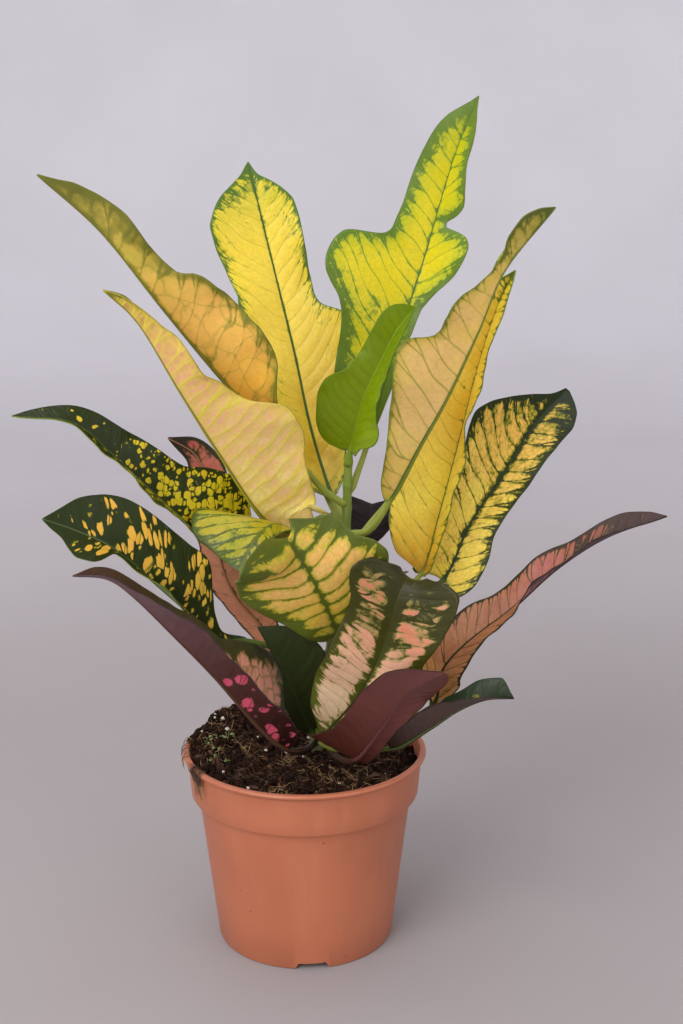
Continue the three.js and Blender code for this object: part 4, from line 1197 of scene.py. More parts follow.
LEAVES: tuple[LeafShape, ...] = (
    LeafShape(
        name="leaf_young", root=281, blade=1, wave=(1.3, 3),
        spine=((26, -8, 288), (29, -12, 301), (34, -16, 320), (42, -19, 338), (50, -20, 354),
            (60, -18, 367)),
        face=((-0.3, -1, 0.2), (-0.3, -1, 0.2), (-0.3, -1, 0.2)),
        fold=((20, 40), (20, 40), (20, 35)),
        left=((0, 5), (0.013, 11), (0.06, 17.5), (0.1, 20), (0.15, 22), (0.22, 23.3), (0.32, 24.6),
            (0.38, 23.8), (0.41, 22), (0.44, 19.3), (0.47, 16.3), (0.515, 14), (0.635, 12), (0.76, 11.7),
            (0.84, 12), (0.92, 10), (0.975, 5), (1, 0.4)),
        right=((0, 6), (0.07, 9.6), (0.12, 16), (0.16, 20.3), (0.2, 21.9), (0.25, 20.5), (0.31, 17.6),
            (0.43, 13.7), (0.51, 9.8), (0.63, 9.2), (0.76, 7.4), (0.88, 4.5), (1, 0.4)),
    ),
    LeafShape(
        name="leaf_crown_lobed", root=266, blade=1, wave=(2, 4),
        spine=((35, 12, 286), (47, 21, 326), (60, 28, 367), (68, 32, 392), (76, 34, 420), (84, 31, 447),
            (95, 24, 476)),
        face=((0.1, -1, 0.2), (0, -1, 0.2), (-0.5, -0.85, 0)),
        fold=((15, 55), (12, 30), (20, 45)),
        left=((0, 2), (0.1, 24), (0.17, 30), (0.25, 32), (0.31, 35), (0.355, 40.5), (0.38, 47),
            (0.405, 52), (0.43, 53.3), (0.465, 52), (0.495, 48.5), (0.515, 43.5), (0.53, 37), (0.543, 30.5),
            (0.557, 25.5), (0.58, 22.6), (0.62, 21.4), (0.67, 19.9), (0.73, 19.5), (0.785, 18.5),
            (0.84, 16.8), (0.88, 15.2), (0.92, 12), (0.955, 7), (0.98, 3), (1, 0.3)),
        right=((0, 2), (0.1, 4), (0.26, 7), (0.4, 7.6), (0.42, 9.4), (0.45, 14), (0.475, 18.7),
            (0.5, 22.6), (0.536, 25.7), (0.577, 26.4), (0.605, 23.5), (0.623, 16), (0.635, 8), (0.648, 7.5),
            (0.66, 11), (0.675, 15), (0.7, 17.8), (0.75, 18.1), (0.806, 15.1), (0.86, 12.8), (0.9, 12.4),
            (0.945, 9), (0.975, 4), (1, 0.3)),
        sweep=(0, 0, 0.2, 0.1, 0),
    ),
    LeafShape(
        name="leaf_upper_left", root=250, blade=1, wave=(2, 4),
        spine=((16, 13, 258), (9, 26, 276), (2, 35, 300), (-6, 46, 336), (-19, 57, 388), (-32, 62, 442)),
        face=((0.1, -1, 0.2), (0.1, -1, 0.2)),
        fold=((15, 15), (10, 10)),
        left=((0, 3), (0.05, 13), (0.14, 16), (0.3, 19), (0.45, 22), (0.6, 24.5), (0.72, 28),
            (0.8, 30.8), (0.84, 31), (0.88, 27.5), (0.92, 21), (0.95, 12), (0.97, 6), (0.985, 3.2),
            (1, 0.4)),
        right=((0, 3), (0.05, 12), (0.14, 17), (0.3, 23), (0.42, 30), (0.49, 33.5), (0.52, 33),
            (0.535, 29), (0.55, 24), (0.568, 20.7), (0.6, 19.2), (0.65, 19.2), (0.72, 20.6), (0.806, 21.4),
            (0.866, 20.4), (0.903, 16.3), (0.937, 9.8), (0.963, 3.6), (1, 0.4)),
    ),
    LeafShape(
        name="leaf_left_long", root=258, blade=2, wave=(2, 5),
        spine=((11, -10, 267), (-5, -26, 289), (-40, -56, 335), (-66, -78, 372), (-91, -96, 408),
            (-117, -108, 434)),
        face=((0.5, 0.4, 0.75), (0.5, 0.3, 0.8)),
        fold=((50, 50), (45, 45)),
        left=((0, 2), (0.1, 8.5), (0.18, 15), (0.23, 21.9), (0.27, 27.7), (0.33, 31.7), (0.39, 33.6),
            (0.45, 31.5), (0.54, 29.8), (0.59, 27.6), (0.612, 24.6), (0.622, 20.5), (0.635, 17.3),
            (0.66, 15.6), (0.7, 14.3), (0.75, 15.3), (0.8, 16.5), (0.84, 14.9), (0.89, 12), (0.93, 9.6),
            (0.96, 5.5), (1, 0.4)),
        right=((0, 2), (0.1, 7), (0.26, 18), (0.36, 22), (0.5, 20), (0.58, 18), (0.67, 13), (0.8, 12),
            (0.9, 9), (0.96, 5), (1, 0.4)),
    ),
    LeafShape(
        name="leaf_left_peach", root=234, blade=1, wave=(2, 4),
        spine=((-2, -4, 239), (-22, -8, 251), (-43, -43, 294), (-59, -72, 330), (-75, -94, 365),
            (-89, -107, 382)),
        face=((0.5, 0.2, 0.8), (0.5, 0.3, 0.8)),
        fold=((45, 45), (45, 40)),
        left=((0, 10), (0.01, 14), (0.02, 18), (0.04, 24), (0.06, 27.5), (0.08, 29.8), (0.12, 33.5),
            (0.18, 35.8), (0.23, 37.5), (0.27, 38.7), (0.314, 40.7), (0.357, 43.9), (0.406, 46.7),
            (0.47, 47.6), (0.51, 45.5), (0.533, 40), (0.548, 33), (0.565, 27.5), (0.59, 24.3), (0.64, 20.6),
            (0.69, 16), (0.75, 15.2), (0.8, 13.4), (0.85, 9.1), (0.92, 6), (0.96, 4.5), (1, 0.4)),
        right=((0, 3), (0.06, 7), (0.18, 12), (0.3, 15), (0.42, 17), (0.58, 16), (0.68, 14), (0.82, 14),
            (0.92, 10.5), (0.96, 6), (1, 0.4)),
        sweep=(-0.5, 0, 0, 0, 0, 0, 0, 0, 0),
    ),
    LeafShape(
        name="leaf_right_peach", root=240, blade=2, wave=(2, 4),
        spine=((37, -13, 245), (47, -27, 264), (61, -44, 296), (75, -56, 325), (89, -66, 359),
            (101, -70, 389), (124, -73, 419)),
        face=((-0.7, 0.1, 0.6), (-0.6, 0.2, 0.7)),
        fold=((40, 55), (40, 55)),
        left=((0, 2), (0.1, 10), (0.22, 15), (0.34, 20), (0.44, 24), (0.5, 25), (0.58, 22), (0.68, 15),
            (0.8, 10), (0.9, 9), (0.96, 5), (1, 0.4)),
        right=((0, 3), (0.01, 4.5), (0.06, 9.6), (0.125, 13.3), (0.22, 18.3), (0.345, 27.7), (0.44, 34),
            (0.49, 35.3), (0.52, 34), (0.54, 30.5), (0.55, 25.5), (0.565, 21), (0.59, 19.2), (0.62, 19.9),
            (0.65, 19.6), (0.69, 16.5), (0.73, 9.8), (0.78, 5.8), (0.82, 6), (0.87, 10), (0.92, 10.6),
            (0.97, 6.5), (1, 0.4)),
    ),
    LeafShape(
        name="leaf_right_yellow", root=206, blade=2, wave=(2, 4),
        spine=((48, 14, 202), (67, 18, 211), (77, 20, 245), (88, 16, 292), (96, 10, 330), (106, 2, 367),
            (114, -3, 385)),
        face=((0.2, -1, 0.2), (0.1, -1, 0.2), (0, -1, 0.2)),
        fold=((15, 70), (15, 88), (20, 55)),
        left=((0, 3), (0.05, 21), (0.18, 31), (0.32, 32), (0.5, 28), (0.7, 20), (0.85, 12), (0.95, 6),
            (1, 0.4)),
        right=((0, 4), (0.03, 6.8), (0.08, 7.4), (0.13, 8.4), (0.2, 11.5), (0.26, 15.5), (0.33, 15.5),
            (0.5, 13.5), (0.7, 9), (0.85, 8), (0.95, 5), (1, 0.4)),
    ),
    LeafShape(
        name="leaf_right_spotted", root=196, blade=2, wave=(1.5, 3),
        spine=((55, 18, 194), (80, 26, 205), (96, 34, 237), (112, 40, 260), (133, 46, 293), (152, 48, 314)),
        face=((-0.1, -1, 0.2), (-0.1, -1, 0.3)),
        fold=((15, 15), (10, 10)),
        left=((0, 15), (0.05, 20), (0.18, 20), (0.27, 19.2), (0.36, 21.4), (0.49, 26), (0.6, 29.8),
            (0.65, 31.8), (0.7, 33), (0.76, 29.4), (0.81, 22.7), (0.875, 13.5), (0.945, 4.3), (1, 1)),
        right=((0, 10), (0.035, 14.5), (0.1, 18), (0.18, 18.6), (0.26, 16.4), (0.355, 15.9),
            (0.466, 15.4), (0.56, 16.5), (0.67, 17.6), (0.765, 18.7), (0.88, 18.9), (0.95, 14.7),
            (0.976, 9.5), (1, 2)),
        sweep=(-0.5, 0, 0, 0, 0),
    ),
    LeafShape(
        name="leaf_right_low", root=136, blade=2, wave=(1.2, 4),
        spine=((46, -12, 133), (72, -16, 143), (78, -14, 164), (92, -10, 179), (117, -4, 197),
            (143, 2, 219), (171, 6, 236), (204, 6, 248)),
        face=((-0.3, -1, 0.3), (-0.4, -0.7, 0.7), (-0.5, -0.2, 0.85), (-0.5, -0.2, 0.85),
            (-0.4, -0.4, 0.8)),
        fold=((10, 10), (15, 30), (40, 38), (40, 38), (35, 35)),
        left=((0, 2), (0.04, 6), (0.1, 11), (0.18, 14), (0.3, 17), (0.42, 13), (0.58, 13), (0.72, 9),
            (0.86, 10), (0.95, 6), (1, 0.4)),
        right=((0, 2), (0.04, 7), (0.1, 14), (0.18, 14), (0.3, 14), (0.42, 15), (0.58, 12), (0.72, 9),
            (0.86, 8), (0.95, 5), (1, 0.4)),
    ),
    LeafShape(
        name="leaf_right_bottom", root=125, blade=2, wave=(1, 2),
        spine=((32, -24, 123), (49, -36, 126), (69, -48, 143), (83, -56, 156), (97, -61, 164),
            (112, -64, 166)),
        face=((-0.4, 0, 1), (-0.4, 0, 1), (-0.2, -0.3, 1)),
        fold=((45, 50), (45, 50), (60, 40)),
        left=((0, 2), (0.12, 8), (0.3, 12), (0.5, 11), (0.68, 9), (0.82, 11), (0.92, 11), (1, 0.4)),
        right=((0, 2), (0.12, 13), (0.3, 17), (0.5, 15), (0.68, 13), (0.82, 10), (0.92, 6), (1, 0.4)),
    ),
    LeafShape(
        name="leaf_front_maroon", root=119.5, blade=2, wave=(1, 2),
        spine=((18, -27, 118), (28, -44, 123), (42, -57, 146), (56, -67, 170), (75, -73, 183)),
        face=((-0.4, 0.9, 0.3), (-0.5, 0.7, 0.6), (-0.5, 0.6, 0.7)),
        fold=((-20, 25), (-20, 25), (-10, 30)),
        left=((0, 6), (0.05, 8), (0.2, 9), (0.37, 9), (0.52, 12), (0.62, 15.5), (0.72, 17), (0.83, 15),
            (0.91, 12), (0.965, 8), (1, 3)),
        right=((0, 31), (0.04, 29.5), (0.125, 26.5), (0.243, 23), (0.396, 22.9), (0.54, 22.7),
            (0.658, 22), (0.745, 21.2), (0.795, 18.6), (0.85, 14.2), (0.907, 8.5), (1, 2)),
    ),
    LeafShape(
        name="leaf_front_pink", root=131, blade=1, wave=(1.2, 3),
        spine=((9, -20, 127), (19, -32, 141), (33, -42, 164), (45, -50, 195), (51, -53, 218),
            (56, -49, 227), (60, -36, 222)),
        face=((-0.1, -1, 0.3), (0, -1, 0.3), (0.1, -0.6, 1)),
        fold=((15, 15), (15, 20), (5, 5)),
        left=((0, 3), (0.06, 6), (0.115, 12.5), (0.18, 19.4), (0.255, 23.7), (0.33, 26.5), (0.41, 27.5),
            (0.5, 27.5), (0.578, 25.8), (0.635, 24.7), (0.675, 24.8), (0.703, 27), (0.732, 28), (0.757, 26),
            (0.787, 21.2), (0.814, 16.1), (0.841, 11.5), (0.88, 7), (0.94, 5), (1, 1)),
        right=((0, 4), (0.06, 12), (0.16, 20), (0.31, 22.5), (0.46, 23.5), (0.54, 24.1), (0.575, 24.9),
            (0.606, 26.8), (0.65, 29.6), (0.7, 32.4), (0.724, 32.3), (0.746, 28.8), (0.779, 22.1),
            (0.82, 15), (0.873, 9), (0.94, 6), (1, 1)),
        sweep=(0, 0, 0, 0.25, 0.95, 0.5),
    ),
    LeafShape(
        name="leaf_front_green", root=184, blade=1, wave=(1.2, 3),
        spine=((20, -24, 188), (9, -41, 218), (0, -50, 238), (-7, -55, 249), (-10, -48, 248),
            (-11, -41, 240)),
        face=((0, -1, 0.3), (0, -1, 0.4), (0, 0, 1)),
        fold=((10, 10), (15, 15), (0, 0)),
        left=((0, 6), (0.04, 11), (0.105, 16), (0.24, 23), (0.35, 30), (0.44, 35.6), (0.48, 38.4),
            (0.52, 39.3), (0.56, 38.8), (0.62, 37.5), (0.68, 41.5), (0.72, 46), (0.745, 47.5), (0.757, 43),
            (0.77, 32), (0.785, 18), (0.8, 9), (0.85, 5), (0.94, 3), (1, 1)),
        right=((0, 4), (0.11, 11), (0.236, 25.5), (0.334, 41), (0.387, 43), (0.435, 40), (0.465, 36.9),
            (0.508, 31.6), (0.565, 28), (0.629, 26.5), (0.65, 21.3), (0.72, 14), (0.82, 9), (0.94, 5),
            (1, 1)),
        sweep=(0, 0.1, 0.3, 0.55, 0.75, 0.6),
    ),
    LeafShape(
        name="leaf_front_folded", root=212, blade=1, wave=(1, 2),
        spine=((6, -13, 232), (-5, -20, 246), (-15, -29, 252), (-24, -40, 247), (-33, -48, 231)),
        face=((-0.5, 0.6, 0.6), (-0.1, -0.4, 0.9), (-0.2, -0.8, 0.5)),
        fold=((-10, -8), (-20, -8), (0, -5)),
        left=((0, 3), (0.07, 14), (0.13, 22), (0.19, 23.5), (0.25, 21), (0.31, 14), (0.38, 9.5),
            (0.46, 9), (0.58, 9), (0.75, 8), (0.9, 5), (1, 0.4)),
        right=((0, 3), (0.15, 18), (0.32, 31), (0.46, 38), (0.58, 34), (0.75, 22), (0.9, 10), (1, 0.4)),
        sweep=(0.3, 0.65, 0.5),
    ),
    LeafShape(
        name="leaf_left_purple", root=115.5, blade=2, wave=(1, 4),
        spine=((1, -22, 120), (-9, -32, 124), (-24, -44, 143), (-45, -60, 176), (-65, -74, 204),
            (-83, -86, 228), (-95, -92, 239), (-111, -97, 242)),
        face=((0.4, 0.2, 1), (0.4, 0.1, 1), (0.3, -0.2, 1)),
        fold=((50, 50), (50, 50), (40, 40)),
        left=((0, 3), (0.06, 15), (0.16, 18), (0.3, 16), (0.42, 16), (0.56, 17), (0.66, 15), (0.76, 10),
            (0.84, 4), (0.93, 3), (1, 0.4)),
        right=((0, 8), (0.03, 27), (0.06, 39), (0.1, 45), (0.14, 47), (0.18, 47), (0.236, 43.4),
            (0.313, 36.7), (0.385, 28.3), (0.446, 21.5), (0.56, 18.5), (0.66, 14), (0.76, 9), (0.84, 7),
            (0.93, 5.5), (1, 0.4)),
    ),
    LeafShape(
        name="leaf_left_spotted_low", root=158, blade=2, wave=(1.5, 3),
        spine=((-16, -14, 177), (-32, -22, 184), (-47, -32, 189), (-60, -42, 206), (-74, -52, 223),
            (-95, -62, 246), (-112, -68, 257), (-130, -72, 265)),
        face=((0.1, -1, 0.5), (0.1, -1, 0.5)),
        fold=((20, 10), (60, 10), (90, 10), (30, 10), (10, 10)),
        left=((0, 2), (0.1, 5), (0.3, 7), (0.5, 7), (0.6, 4.5), (0.68, 2.2), (0.705, 2.5), (0.731, 7.2),
            (0.76, 12.2), (0.79, 14.6), (0.84, 15), (0.882, 11.1), (0.913, 6.8), (0.964, 3.3), (1, 0.4)),
        right=((0, 2), (0.1, 4), (0.2, 8.5), (0.24, 11), (0.3, 17), (0.37, 25), (0.427, 28.4),
            (0.5, 27.2), (0.58, 26.7), (0.695, 26.2), (0.755, 25.6), (0.827, 22.8), (0.9, 16.7),
            (0.953, 8.1), (1, 0.4)),
    ),
    LeafShape(
        name="leaf_left_spotted", root=200, blade=2, wave=(1.2, 4),
        spine=((-4, -4, 207), (-30, -2, 218), (-55, -14, 241), (-78, -27, 267), (-98, -37, 290),
            (-118, -43, 309), (-149, -45, 313)),
        face=((0.2, -1, 0.6), (0.2, -1, 0.6), (0.1, -0.8, 0.8)),
        fold=((65, 10), (65, 10), (50, 10)),
        left=((0, 2), (0.08, 8), (0.18, 12), (0.28, 13), (0.36, 13), (0.44, 13), (0.58, 12), (0.74, 9),
            (0.86, 7), (0.95, 4), (1, 0.4)),
        right=((0, 2), (0.08, 22), (0.18, 34), (0.28, 36), (0.36, 31), (0.44, 22), (0.58, 18),
            (0.74, 12), (0.86, 8), (0.95, 4), (1, 0.4)),
    ),
    LeafShape(
        name="leaf_rear_left", root=168, blade=1, wave=(1.2, 4),
        spine=((-11, 7, 166), (-27, 12, 184), (-42, 10, 205), (-50, 12, 232), (-54, 16, 261),
            (-61, 20, 280), (-77, 22, 290)),
        face=((0.3, 1, 0.2), (0.5, 0.9, 0.2)),
        fold=((10, 10), (10, 10)),
        left=((0, 2), (0.08, 8), (0.2, 12), (0.4, 14), (0.6, 15), (0.76, 14), (0.9, 9), (0.96, 4),
            (1, 0.4)),
        right=((0, 2), (0.08, 9), (0.2, 12), (0.4, 14), (0.6, 15), (0.76, 14), (0.9, 8), (0.96, 4),
            (1, 0.4)),
    ),
    # Painted shade: this dark leaf partly stands where there is only deep shadow beside the purple leaf's
    # far half.
    LeafShape(
        name="leaf_low_green", root=124.5, blade=1, wave=(1, 2),
        spine=((4, -12, 127), (-2, -18, 144), (-9, -22, 163), (-18, -24, 182), (-25, -22, 192)),
        face=((0, -1, 0.4), (0, -1, 0.4)),
        fold=((10, 10), (10, 10)),
        left=((0, 3), (0.12, 7), (0.3, 8), (0.45, 5), (0.6, 2), (0.85, 1.5), (1, 0.4)),
        right=((0, 3), (0.12, 11), (0.35, 20), (0.62, 25), (0.85, 16), (1, 0.4)),
    ),
    LeafShape(
        name="leaf_back_dark", root=216, blade=1, wave=(2, 3),
        spine=((33, 24, 222), (37, 46, 228), (39, 78, 232), (40, 106, 232), (42, 130, 227)),
        face=((0, -0.4, 1), (0, -0.2, 1)),
        fold=((20, 20), (15, 15)),
        left=((0, 2), (0.15, 10), (0.4, 17), (0.65, 16), (0.85, 11), (1, 0.4)),
        right=((0, 2), (0.15, 10), (0.4, 16), (0.65, 15), (0.85, 10), (1, 0.4)),
    ),
    LeafShape(
        name="leaf_back_left_high", root=243, blade=1, wave=(2, 4),
        spine=((12, 22, 258), (-8, 52, 300), (-24, 82, 346), (-38, 108, 382)),
        face=((0.3, -0.9, 0.6), (0.3, -0.8, 0.6)),
        fold=((25, 25), (15, 15)),
        left=((0, 2), (0.12, 12), (0.35, 21), (0.6, 18), (0.8, 15), (0.94, 6), (1, 0.4)),
        right=((0, 2), (0.12, 12), (0.35, 20), (0.6, 20), (0.8, 16), (0.94, 6), (1, 0.4)),
    ),
    LeafShape(
        name="leaf_back_right_high", root=228, blade=2, wave=(2, 4),
        spine=((36, 14, 240), (53, 32, 258), (72, 60, 290), (90, 88, 322), (102, 112, 348)),
        face=((-0.5, -0.7, 0.7), (-0.4, -0.7, 0.7)),
        fold=((20, 20), (15, 15)),
        left=((0, 2), (0.12, 11), (0.35, 19), (0.55, 15), (0.8, 14), (0.94, 6), (1, 0.4)),
        right=((0, 2), (0.12, 11), (0.35, 18), (0.55, 18), (0.8, 13), (0.94, 6), (1, 0.4)),
    ),
    LeafShape(
        name="leaf_back_left_low", root=176, blade=1, wave=(2, 4),
        spine=((10, 24, 186), (1, 56, 204), (-7, 92, 218), (-14, 124, 220)),
        face=((0.1, -0.4, 1), (0.1, -0.1, 1)),
        fold=((20, 20), (15, 15)),
        left=((0, 2), (0.12, 11), (0.35, 19), (0.6, 18), (0.82, 13), (0.94, 6), (1, 0.4)),
        right=((0, 2), (0.12, 11), (0.35, 18), (0.6, 19), (0.82, 14), (0.94, 6), (1, 0.4)),
    ),
    LeafShape(
        name="leaf_back_right_low", root=150, blade=1, wave=(2, 3),
        spine=((23, 22, 160), (37, 55, 176), (50, 90, 186), (58, 118, 184)),
        face=((-0.2, -0.3, 1), (-0.2, 0, 1)),
        fold=((20, 20), (15, 15)),
        left=((0, 2), (0.12, 10), (0.35, 17), (0.6, 17), (0.82, 12), (0.94, 5), (1, 0.4)),
        right=((0, 2), (0.12, 10), (0.35, 17), (0.6, 16), (0.82, 12), (0.94, 5), (1, 0.4)),
    ),
)


@dataclass
class Foliage:
    """All 24 leaves.

    Attributes:
        shapes: The leaves' forms.
        first_seed: Seed of the first leaf's chance patterns.
        seed_step: Distance to the next leaf's seed.
    """

    shapes: tuple[LeafShape, ...] = LEAVES
    first_seed: float = 1.0
    seed_step: float = 3.0

    def build(self, stem: Stem) -> list[bpy.types.Object]:
        """Makes every leaf.

        Args:
            stem: The stem that they grow from.

        Returns:
            The leaves' pieces.
        """
        pieces = []
        for place, shape in enumerate(self.shapes):
            seed = self.first_seed + self.seed_step * place
            pieces.append(LeafBlade(shape, *PATTERNS[shape.name], stem, seed).build())
        return pieces


@dataclass(frozen=True)
class MouldedPlastic:
    """Injection-moulded terracotta polypropylene.

    A satin sheen that breaks up where it was handled, faint flow lines, a slightly duller dusting,
    small brown specks and smudges of compost below the rim on the left.

    Attributes:
        colour: Main colour.
        streak: Colour of the flow lines.
        smear: Colour of the smudged compost.
    """

    colour: str = "ae6546"
    streak: str = "bd7b59"
    speck: str = "5a3423"
    smear: str = "6a3f2a"

    def material(self) -> bpy.types.Material:
        """Builds the node material.

        Returns:
            The material.
        """
        made, tree = new_material("moulded_polypropylene")
        spot = add(tree, "TexCoord").outputs["Object"]
        flow = add(tree, "Mapping", {"Vector": spot, "Scale": (1.0, 1.0, 0.12)})
        flow = add(tree, "TexNoise", {"Vector": flow, "Scale": 60.0, "Detail": 4.0, "Roughness": 0.6})
        broad = add(tree, "TexNoise", {"Vector": spot, "Scale": 22.0, "Detail": 3.0})
        amount = add(tree, "MapRange", {0: broad.outputs[0], 1: 0.35, 2: 0.65, 3: 0.93, 4: 1.05})
        skin = add(tree, "MixRGB", {0: 1.0, 1: linear(self.colour), 2: amount}, blend_type="MULTIPLY")
        amount = add(tree, "MapRange", {0: flow.outputs[0], 1: 0.5, 2: 0.72, 3: 0.0, 4: 0.25})
        skin = add(tree, "MixRGB", {0: amount, 1: skin, 2: linear(self.streak)})
        specks = add(tree, "TexVoronoi", {"Vector": spot, "Scale": 170.0})
        few = add(tree, "SeparateColor", {0: specks.outputs["Color"]})
        few = add(tree, "Math", {0: few.outputs[0], 1: 0.93}, operation="GREATER_THAN")
        dot = add(tree, "MapRange", {0: specks.outputs[0], 1: 0.07, 2: 0.13, 3: 0.8, 4: 0.0})
        dot = add(tree, "Math", {0: dot, 1: few}, operation="MULTIPLY")
        skin = add(tree, "MixRGB", {0: dot, 1: skin, 2: linear(self.speck)})
        place = add(tree, "SeparateXYZ", {0: spot})
        left = add(tree, "MapRange", {0: place.outputs[0], 1: -0.045, 2: -0.062, 3: 0.0, 4: 1.0})
        height = add(tree, "MapRange", {0: place.outputs[2], 1: 0.09, 2: 0.112, 3: 0.0, 4: 1.0})
        smudge = add(tree, "Math", {0: left, 1: height}, operation="MULTIPLY")
        grime = add(tree, "TexNoise", {"Vector": spot, "Scale": 180.0, "Detail": 5.0, "Roughness": 0.7})
        amount = add(tree, "MapRange", {0: grime.outputs[0], 1: 0.55, 2: 0.66, 3: 0.0, 4: 0.75})
        smudge = add(tree, "Math", {0: smudge, 1: amount}, operation="MULTIPLY")
        skin = add(tree, "MixRGB", {0: smudge, 1: skin, 2: linear(self.smear)})
        gloss = add(tree, "MapRange", {0: broad.outputs[0], 1: 0.3, 2: 0.7, 3: 0.38, 4: 0.5})
        gloss = add(tree, "MixRGB", {0: smudge, 1: gloss, 2: (0.9, 0.9, 0.9, 1.0)})
        bump = {"Strength": 0.2, "Distance": 0.15 * MM, "Height": flow.outputs[0]}
        shader = {
            "Base Color": skin, "Roughness": gloss, "Normal": add(tree, "Bump", bump),
            "Subsurface Weight": 0.08, "Subsurface Radius": (1.0, 0.4, 0.2), "Subsurface Scale": 1.0 * MM,
        }
        add(tree, "OutputMaterial", {"Surface": add(tree, "BsdfPrincipled", shader)})
        return made


